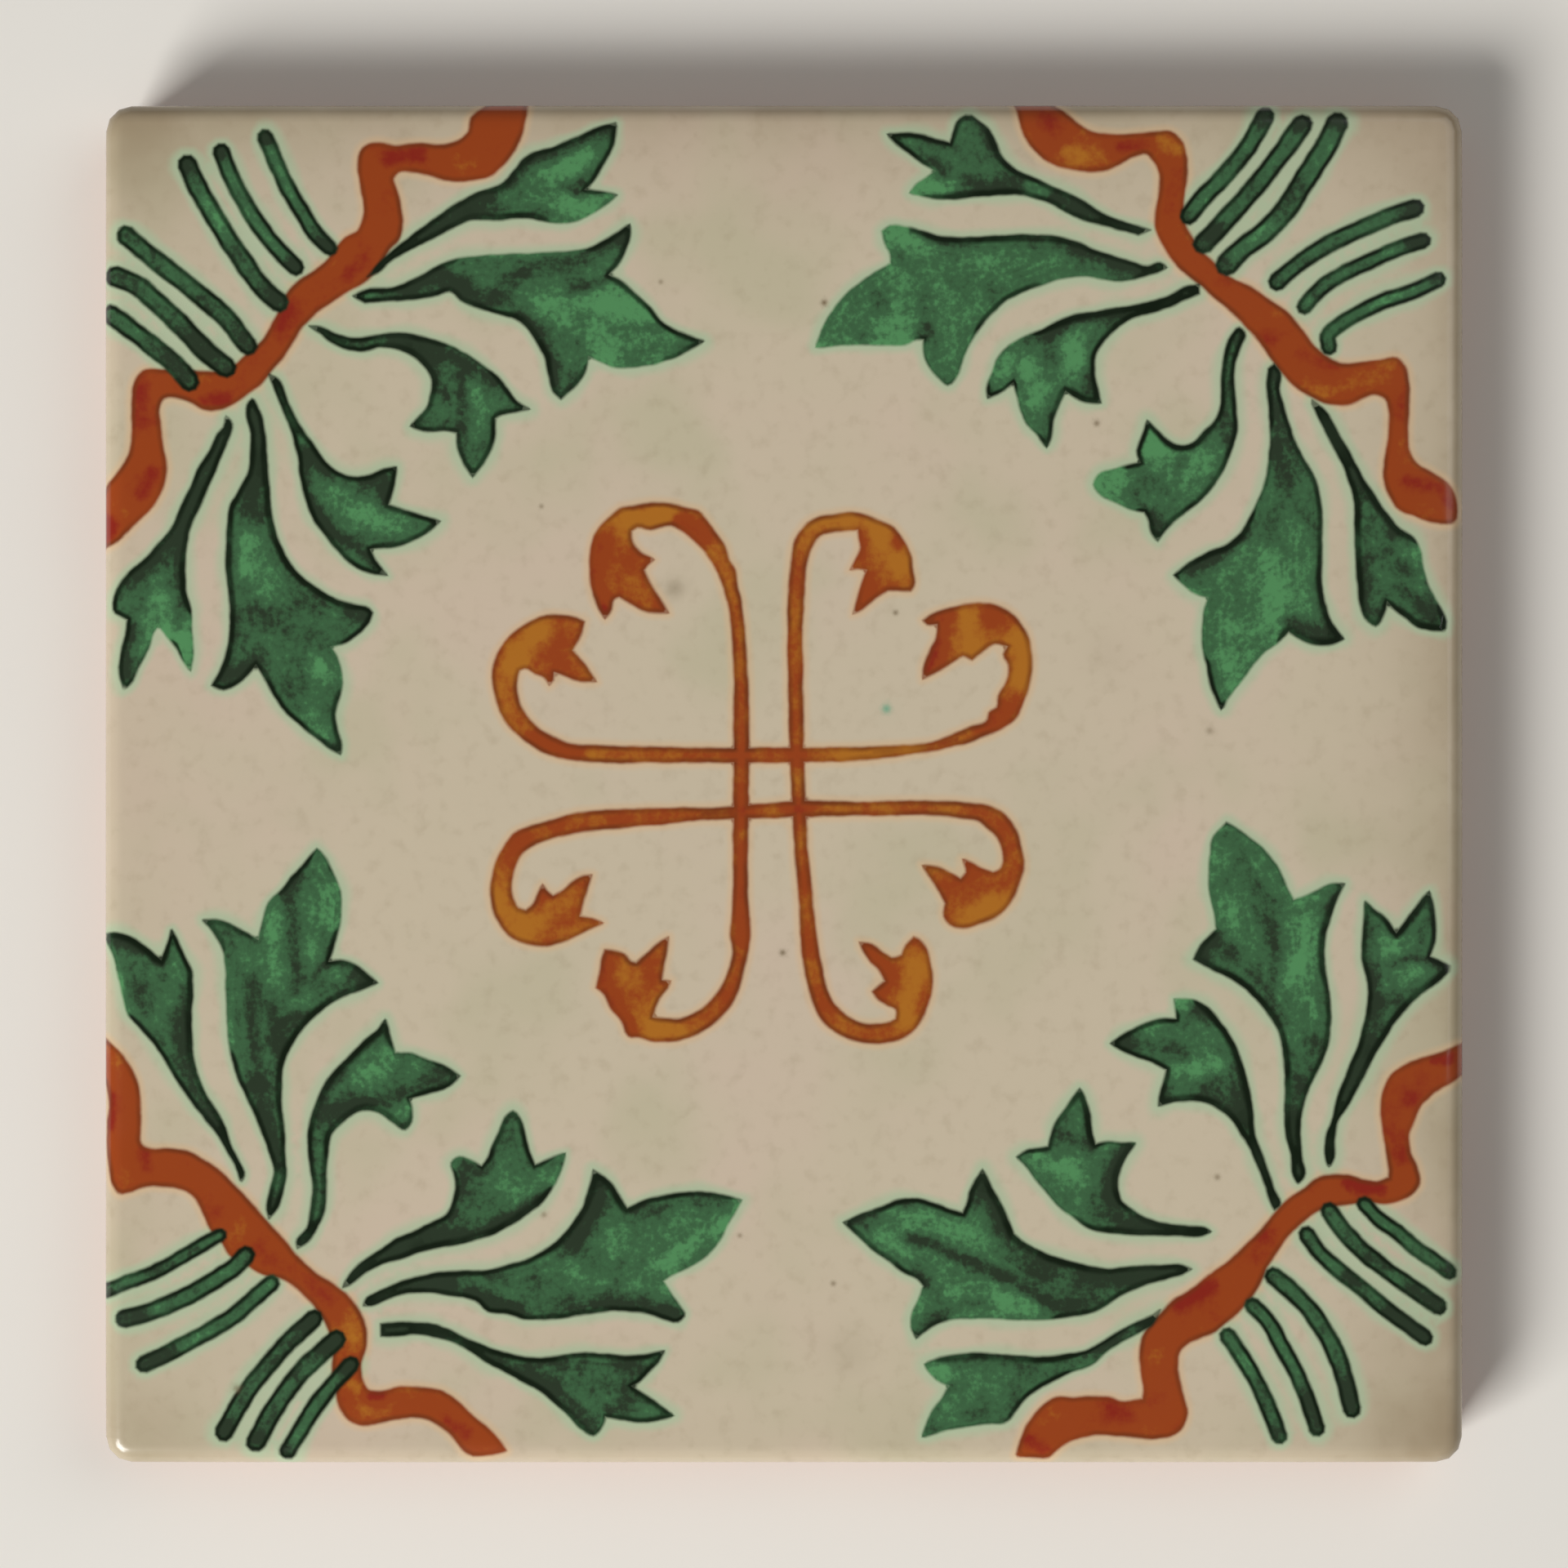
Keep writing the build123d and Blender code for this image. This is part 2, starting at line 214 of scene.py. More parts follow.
    """31.4,-37.4 | 30.7,-37.1 29,-37.1 28,-37.1 26.3,-37.25 25,-37.4 23.7,-37.2 22.2,-36.9 20.7,-36.4
    19.3,-35.8 18.3,-35.25 17.7,-34.7 | 17.3,-33.7 16.8,-32.5 16.2,-31.5 15.75,-30.6 15.3,-29.75 |
    14.75,-30.6 14.3,-31.5 14.1,-32.5 13.8,-33.1 | 12.7,-32.75 11.5,-32.3 10.2,-32 8.8,-32.1 7.5,-32.6
    6,-33.2 4.6,-33.8 | 5.7,-34.8 6.8,-35.8 8.2,-36.8 9.3,-37.7 10.3,-38.1 10.8,-38.7 | 10.4,-39.7 9.9,-40.8
    9.8,-41.8 10.2,-42.7 | 10.8,-42.2 11.8,-41.6 13,-41.2 14.8,-41.1 17,-41.2 19,-41.25 20.7,-41.2 22.3,-41
    23.8,-40.7 25,-40.1 26.2,-39.3 27.5,-38.7 29,-38.3 30.7,-37.8 |""",
    """29,-40.5 | 28.7,-40.75 27.3,-41.4 25.8,-42.2 24.5,-43 23.2,-43.7 21.7,-44 20,-44.2 18,-44.1 16.3,-44
    14.7,-43.9 13.2,-44.1 12,-44.3 10.9,-44.75 | 11.2,-45.3 12,-46 12.75,-46.4 | 12.2,-47.3 11.5,-48.3
    11,-49.3 10.7,-50.3 | 11.5,-50.1 12.7,-49.75 14,-49.5 15.7,-49.3 17.2,-49.1 17.8,-48.4 18.5,-47.5
    19.5,-46.7 20.7,-46 22.2,-45.3 23.7,-44.7 24.8,-43.8 26,-43 27.3,-42.3 28.5,-41.6""",
)

# Single brush strokes of green: width, then the middle line from the rim inwards
STROKES = (
    (1.4, "-46,47.8 -45.2,46 -44.2,44.2 -43,42.25 -41.5,40 -40.2,38.25 -38.9,37.1"),
    (1.2, "-43.4,48.8 -42.7,47 -41.5,44.7 -40.3,42.8 -39,41.2 -37.6,39.8"),
    (1.15, "-40,49.9 -39.2,48 -38.2,45.8 -37.1,44 -36.2,42.5 -35,41.3"),
    (1.4, "-50.8,42.3 -49.2,41 -47.2,39.4 -45.2,37.8 -43.3,36.2 -41.3,33.8"),
    (1.5, "-51.7,39.2 -50,38.5 -48.2,37 -46.3,35.2 -44.7,33.5 -43,32.1"),
    (1.4, "-52,36.3 -50.3,35 -48.5,33.6 -46.8,32.2 -45.8,31"),
    (1.3, "37.15,51.6 36.2,49.8 35,48.1 33.5,46.4 32.1,45 31.2,43.8"),
    (1.45, "40,50.9 38.7,49.1 37.2,47.1 35.5,45.1 33.8,43.2 32.3,41.6"),
    (1.6, "42.7,51 41.7,49 40.2,46.7 38.7,44.3 37,42.5 35.3,41.2 34.1,40"),
    (1.25, "48.7,44.4 46.8,43.8 44.7,42.9 42.3,41.8 40.2,40.5 38,38.7"),
    (1.1, "49.25,41.9 47.3,41.25 45.2,40.3 43,39.3 41.5,38.3 40.1,36.8"),
    (1.1, "50.5,38.9 48.5,38 46.3,37.25 44.3,36.3 42.8,35.4 41.9,34.5 42,33.7"),
    (1.0, "-52.5,-39.2 -50.8,-38.5 -48.7,-37.7 -46.8,-36.7 -45.3,-35.8 -43.5,-34.8"),
    (1.3, "-50.9,-41.25 -49.2,-40.8 -47.2,-40 -45.3,-39.1 -43.5,-38 -42.3,-37.2 -41.5,-36.3"),
    (1.2, "-49.4,-44.75 -47.5,-43.9 -45.5,-42.8 -43.7,-41.8 -42,-40.7 -40.7,-39.5 -39.5,-38.5"),
    (1.3, "-43.2,-50 -42.2,-48.2 -41,-46.3 -39.7,-44.7 -38.2,-43 -36.2,-41.2"),
    (1.4, "-40.75,-50.8 -39.7,-48.8 -38.5,-47 -37.2,-45.3 -35.8,-44 -34.5,-42.8"),
    (1.2, "-38.3,-51.5 -37.2,-49.7 -36,-47.8 -34.8,-46.3 -33.4,-44.75"),
    (1.1, "51.4,-37.7 50.2,-36.8 48.7,-35.8 47.2,-34.5 45.8,-33.5 44.75,-32.4"),
    (1.25, "50.5,-40.3 48.2,-38.7 46.2,-37.3 44.3,-35.7 42.8,-34 42,-32.9"),
    (1.15, "49.4,-42.7 48.2,-41.8 46.7,-40.7 44.7,-39 42.8,-37.5 41.2,-36 40.3,-34.7"),
    (1.3, "43.8,-48.2 43.3,-46.2 42.7,-44.3 41.7,-42.3 40.5,-40.5 39,-39 37.7,-37.9"),
    (1.15, "41.1,-49.7 40.2,-47 39.3,-45 38.3,-43.2 37.2,-41.3 36.1,-40.2"),
    (1.15, "38.2,-50.3 37.3,-48 36.5,-46.2 35.3,-44.2 34.2,-42.5"),
)

# Rust ribbons, one to a corner: out along one side and back along the other
RIBBONS = (
    # Upper left
    """-53.3,21.5 -52.6,22.4 -52,23.2 -51.2,24.2 -50.5,25.3 -50.2,27 -50.25,28.5 -50.2,29.7 -49.9,31.2
    -49.4,31.75 -48,31.85 -46.3,31.75 -44.7,31.7 -43,31.85 -42.2,32.3 -41.2,33.2 -40.3,34 -39.5,35.2
    -38.8,36.5 -38.2,37.8 -37.3,38.8 -36.2,39.5 -35.3,40.2 -34.5,41.3 -33.7,42.1 -32.75,42.6 -32.4,43.5
    -32.3,44.7 -32.6,46.3 -32.75,47.7 -32.6,48.7 -32,49.25 -31.2,49.35 -30,49.1 -28.4,49.3 -26,49.25 -25,49.6
    -24.25,50.3 -24.1,51.3 -23.3,52.1 -22.7,52.7 -22,53.5 | -19.8,53.5 | -19.9,52.5 -20,51.5 -20.2,50.5
    -20.7,49.2 -21.7,47.8 -22.8,46.9 -24.5,46.6 -26.2,46.7 -27.3,47 -28.5,47.25 -29.8,47.25 -30.2,46.75
    -29.9,45.7 -29.6,44.3 -29.5,43 -29.8,42 -30.5,41.2 -31.2,40 -32.2,38.9 -33.5,38.2 -34.8,37.3 -36.2,36.3
    -37.2,35.25 -38,34 -38.8,32.8 -39.7,31.75 -40.5,30.8 -41.3,30.2 -42.3,29.5 -43.3,29 -44.7,29 -45.8,29.5
    -47.2,29.9 -47.8,29.8 -48.2,29.2 -48.2,28 -48.1,27 -47.9,25.8 -47.7,24.3 -47.9,23 -48.5,21.8 -49.7,20.5
    -50.8,19.5 -51.5,18.7 -52.3,18.4 -53.3,18.2 |""",
    # Upper right
    """20.2,53.5 | 20.7,52.5 21.7,51.7 22.8,50.7 24.2,50.1 25.7,50 27.3,50.1 28.7,50.2 29.8,50.2 30.5,49.7
    30.9,48.5 31,47.3 30.8,45.8 30.7,44.5 30.8,43.3 31.25,42.3 32,41.2 33.2,40 34.3,39 36,38.2 37.3,37.3
    38.7,36.3 39.8,35 40.8,33.7 41.7,32.9 42.8,32.4 44.5,32.4 46,32.6 47.2,32.8 47.8,32.2 48.1,30.8 48.1,29.2
    48,27 48.1,25.7 48.7,24.7 49.8,24 51,23.2 51.7,22.2 51.9,21.2 51.7,20.3 51,20.1 50,20.25 48.7,20.7
    47.3,21.4 46.7,22.3 46.3,23.7 46.4,25 46.7,27 46.7,28.8 46.4,29.75 45.5,30.1 44.7,29.9 43.7,29.4
    42.5,29.3 41.3,29.6 40.2,30.2 39.2,30.9 38.3,31.9 37.5,33 36.7,34.2 35.7,35.3 34.5,36.5 33.3,37.5
    32.2,38.5 31,39.4 30,40.5 29.2,41.7 28.75,42.8 28.75,44.2 29,45.7 29,47 28.6,48 28,48.7 27,48.5
    25.7,47.75 24.3,47.3 22.7,47.4 21,47.8 19.7,48.6 18.8,49.7 18.3,51 18,52.3 17.9,53.5 |""",
    # Lower left
    """-53.3,-19.5 | -52.3,-19.9 -51.5,-20.5 -50.7,-21.5 -50,-22.8 -49.75,-24.3 -49.7,-26 -49.5,-28
    -48.8,-28.25 -47.5,-28.2 -46,-28.4 -44.7,-29.1 -43.3,-30.1 -42.2,-31.2 -41,-32.5 -40,-33.7 -38.8,-35
    -37.7,-36.3 -36.2,-37.7 -34.7,-38.7 -33.5,-39.7 -32.75,-40.8 -32.3,-42 -32.3,-43.3 -32.7,-44.7
    -32.6,-45.8 -32.1,-46.75 -31,-46.9 -29.7,-46.6 -28,-46.65 -26.3,-46.9 -25.2,-47.7 -24,-48.8 -22.8,-49.8
    -22,-50.7 -21.5,-51.4 | -22.2,-51.6 -23,-51.7 -24,-51.8 | -24.5,-51.5 -25.2,-50.7 -26,-49.8 -27,-49.1
    -28.2,-48.75 -30,-48.95 -31.5,-49.25 -32.7,-49.3 -33.7,-48.8 -34.25,-47.8 -34.5,-46.7 -34.75,-45.2
    -34.7,-43.8 -34.9,-42.5 -35.5,-41.2 -36.3,-40 -37.5,-38.8 -38.8,-38 -40.2,-37.7 -41.3,-37 -42.7,-36.25
    -43.3,-35.3 -44.2,-34.2 -44.8,-32.8 -45.5,-31.7 -46.5,-31.1 -48,-30.9 -49.5,-31 -50.5,-31.4 -51.2,-31.5
    -51.75,-30.8 -52,-29.7 -52.2,-28.3 -52.2,-26 -52,-25 -52.1,-24 -52.4,-23 -53.3,-22.4 |""",
    # Lower right
    """53.3,-19.9 | 52.5,-20.1 51,-20.7 49.3,-21.2 47.8,-21.8 46.8,-22.5 46.3,-23.7 46.1,-25.2 46.3,-27
    46.5,-28.3 46.7,-29.7 46.7,-30.4 | 45.7,-30.75 44.7,-30.6 43.7,-30.3 42.5,-30.2 41.3,-30.4 40.2,-31.2
    39,-32 38,-33 37,-34.2 36,-35.25 35,-36.25 33.7,-37.3 32.3,-38.3 31.2,-39.2 30,-39.9 29.2,-40.7
    28.3,-41.7 27.75,-42.6 27.5,-43.9 27.6,-45.3 27.8,-46.7 27.7,-47.5 | 26.3,-47.7 25,-47.4 23.8,-47.3
    22.3,-47.4 21,-47.4 20.3,-47.75 19.5,-48.5 18.8,-49.5 18.3,-50.7 18,-51.8 | 20.3,-52 | 20.5,-51.8
    21.3,-51 22.5,-50.4 24,-50.1 25.7,-50.2 27.3,-50.3 28.7,-50.4 29.8,-50.2 30.7,-49.5 31,-48.5 30.75,-47.3
    30.4,-46 30.25,-44.8 30.4,-43.8 31,-43.1 32,-42.6 33.2,-42.1 34.2,-41.3 35.2,-40.4 36.1,-39.3
    36.75,-38.2 37.2,-37.2 37.8,-36.2 38.8,-34.8 39.8,-33.8 41,-32.9 42.3,-32.5 43.7,-32.25 45,-32.1
    46.2,-32.3 47.3,-32.1 48.3,-31.6 48.9,-30.75 48.7,-29.5 48.25,-28.5 48.1,-27 48.5,-26 49,-24.8 50,-23.8
    51,-23.2 52,-22.6 53.3,-22 |""",
)

# The scrolled cross: eight curls that start in its middle, out along one side and back along the other
CURLS = (
    # To the left, upper and lower
    """-2.8,2.75 | -8.3,2.8 -12.5,2.9 -15,3 -16.2,3 -17,3.25 -18,3.7 -19.2,4.5 -20,5.5 -20.5,6.7 -20.6,7.8
    -20.4,8.75 | -20,8.9 -19.2,8.5 -18.5,8.2 -18.1,7.6 | -17.75,8 -17.7,8.6 | -16.8,8.25 -15.7,7.9 -14.5,7.9 |
    -15,8.7 -15.7,9.6 -16.3,10.3 | -15.8,11.2 -15.4,12.5 | -16,12.8 -17.2,13 -18.3,13 -19.5,12.5 -20.7,11.75
    -21.7,10.7 -22.3,9.5 -22.5,8.2 -22.25,6.8 -21.8,5.5 -21,4.25 -19.8,3.2 -18.5,2.4 -17,2 -15.3,1.75
    -13.3,1.65 -10,1.65 -2.8,1.65 |""",
    """1.2,-1.35 | -1.3,-1.5 -2.7,-1.65 -4.7,-1.8 -6.7,-1.85 -10,-1.9 -13.3,-2 -15,-2.15 -16.7,-2.4 -18.3,-2.9
    -19.7,-3.3 -20.7,-3.8 -21.5,-4.7 -22.1,-5.8 -22.5,-7.2 -22.6,-8.3 -22.4,-9.7 -21.8,-11 -21,-11.8
    -19.8,-12.3 -18.3,-12.5 -17,-12.1 -15.8,-11.6 -15,-11.2 -14,-10.7 | -14.8,-10.4 -15.75,-10.2 | -15.5,-9.2
    -15.1,-8 -14.8,-7 | -15.5,-7.1 -16.3,-7.5 -17,-8.2 -17.8,-8.6 | -18.3,-8.2 -18.6,-7.75 | -18.9,-8.3
    -19.3,-9.2 -19.9,-9.75 | -20.5,-9.6 -20.9,-8.8 -21,-7.7 -20.75,-6.5 -20.2,-5.4 -19.3,-4.7 -18,-4.25
    -16.7,-3.9 -15,-3.6 -13.3,-3.45 -11.7,-3.3 -10,-3.15 -7.5,-2.85 -4.7,-2.7 -1.3,-2.6 1.2,-2.5 |""",
    # To the right, upper and lower
    """-5.2,2.75 | 1.3,2.8 5,2.8 7.3,2.9 9.8,3 11.5,3.25 13,3.8 14.3,4.4 15.7,5 15.8,5.5 16.4,5.9 16.5,6.8
    17.1,7.8 17.3,9.2 16.9,10 17.2,10.6 | 16.3,10.8 15.3,10.2 14.5,9.6 | 13.8,9.9 13,9.4 11.8,8.7 10.7,8.1 |
    10.75,9 11.2,10.2 11.75,11.3 11.8,12.3 | 11,12.25 10.7,12.6 | 11.2,13 12.3,13.4 13.7,13.8 15.2,13.9
    16.5,13.7 17.7,13 18.5,12 19,10.5 19.1,9 18.8,7.3 18.3,6 17.7,4.9 16.8,4.3 15.5,3.7 13.8,3.1 12.2,2.7
    9.7,2.3 7.3,2 5,1.8 3,1.75 1.3,1.7 -5.2,1.65 |""",
    """-1.2,-1.5 | 1.5,-1.3 4.7,-1.4 8,-1.35 11.3,-1.3 13.8,-1.4 15.7,-1.7 16.7,-2.1 17.5,-2.9 18,-3.8 18.3,-5
    18.5,-6.2 18.25,-7.3 17.8,-8.5 17.2,-9.5 16.2,-10.3 15,-10.8 13.8,-11.1 12.8,-10.8 12.3,-10.2 12.4,-9.2 |
    12,-8.3 11.3,-7.3 10.7,-6.3 | 11.8,-6.4 12.8,-6.9 13.6,-7.3 | 14,-6.8 13.8,-5.8 | 14.5,-6.1 15.3,-6.5
    16.1,-6.8 | 16.6,-6.6 16.9,-5.9 16.8,-4.9 16.4,-4.1 15.9,-3.6 15.2,-2.95 13.7,-2.6 11.3,-2.4 8,-2.4
    4.7,-2.45 1.5,-2.5 -1.2,-2.55 |""",
    # On the left, upwards and downwards
    """-2.77,-1.2 | -2.7,4 -2.75,7.3 -2.9,9.8 -3.1,12.3 -3.3,14 -3.6,15.3 -3.8,16.5 -4.2,17.2
    -4.5,18.3 -5.2,19.3 -6,20.4 -6.6,21 -7.3,21.2 -8.3,21.5 -10,21.7 -11.3,21.5 -12.7,21.2 -13.75,20.3
    -14.5,19.3 -14.9,18 -15,16.7 -14.8,15 -14.4,13.7 -13.8,12.75 | -13.3,13.5 -13.1,14.2 -12.7,14.4 |
    -11.7,13.8 -10.7,13.3 -9.8,13.2 -8.9,13.2 | -9.5,14.2 -10.2,15.3 -10.8,16.5 | -10.5,16.9 -10,17.3
    | -11.2,18 -11.7,18.7 -11.75,19.5 | -11.3,19.75 -10.3,19.6 -9.5,19.8 -8.7,19.95 -7.8,19.5 -7,18.8
    -6,17.8 -5.2,16.5 -4.7,15.2 -4.25,13.7 -4.1,12.3 -3.9,9.8 -3.85,7.3 -3.87,4 -3.88,-1.2 |""",
    """-3.87,1.2 | -3.9,-4 -3.9,-7.3 -4,-9.8 -4.1,-11.5 -4,-13.2 -4.3,-14.4 -4.8,-15.6 -5.7,-16.75 -6.8,-17.6
    -8,-18.1 -9.1,-18.1 -10.1,-17.95 | -9.8,-17 -9.4,-16.2 -9,-15.7 -8.75,-15.2 | -9.4,-15.1 | -9.25,-14
    -9,-12.8 -8.9,-11.8 | -9.8,-12.3 -10.7,-13.2 -11.4,-13.8 | -11.8,-13.7 -12.3,-13.1 -13,-12.9
    -13.8,-12.8 | -14.1,-13.7 -14.25,-14.7 -14.45,-15.7 | -13.8,-16.3 -13.3,-17.3 -12.5,-18.3 -12.25,-19.1 |
    -12,-19.4 -11.2,-19.5 -10.3,-19.8 -9,-19.85 -8.3,-19.8 -7,-19.4 -5.8,-18.75 -4.7,-17.8 -3.8,-16.5
    -3.25,-15 -2.9,-13.5 -2.63,-12 -2.63,-10.7 -2.8,-9 -2.83,-6.5 -2.75,-3.2 -2.75,1.2 |""",
    # On the right, upwards and downwards
    """0.64,-1.2 | 0.5,1.5 0.42,4 0.33,9 0.3,12.3 0.3,14 0.4,15.7 0.6,17.3 0.75,18.5 1.2,19.4 1.8,20.1
    2.8,20.6 4,20.8 5,20.9 6.2,20.75 7.3,20.3 8.5,19.75 9.2,18.8 9.7,17.8 9.9,16.7 10,15.3 9.75,14.9 |
    8.8,14.9 8,14.9 | 7.3,14.5 6.5,13.8 5.8,13.3 5.3,13.1 | 5.5,13.8 5.8,14.8 6.1,15.7 6.4,16.5 |
    5.8,16.6 5.1,16.5 | 5.5,17.3 5.9,18.25 5.8,18.8 5.7,19.6 | 4.8,19.5 3.7,19.4 2.8,19.1 2.2,18.3
    1.8,17.3 1.6,16 1.5,14 1.4,12.3 1.42,9 1.5,4 1.53,-1.2 |""",
    """0.52,1.2 | 0.75,-4 1,-7 1.2,-9.3 1.3,-11.6 1.45,-13.6 1.8,-15.3 2.3,-17 3,-18.3 4,-19.1
    5.3,-19.7 6.7,-20 8,-19.9 9.3,-19.5 10.2,-18.8 10.8,-17.7 11.3,-16.3 11.45,-15.2 11.3,-13.8
    11,-12.8 10.4,-12 10,-11.8 | 9.4,-12.4 9.1,-13.2 | 8.3,-13.4 7.7,-13 6.8,-12.4 5.8,-12.2 |
    6.5,-13.5 7.3,-14.3 7.8,-15.2 | 7.3,-15.6 6.8,-16 | 7.3,-16.6 8,-17 8.6,-17.4 8.6,-18.1 |
    8.2,-18.3 7.2,-18.5 5.8,-18.4 4.7,-17.8 3.85,-16.9 3.3,-15.7 2.9,-14 2.5,-11.6 2.25,-9.3 2,-7
    1.75,-4 1.5,1.2 |""",
)

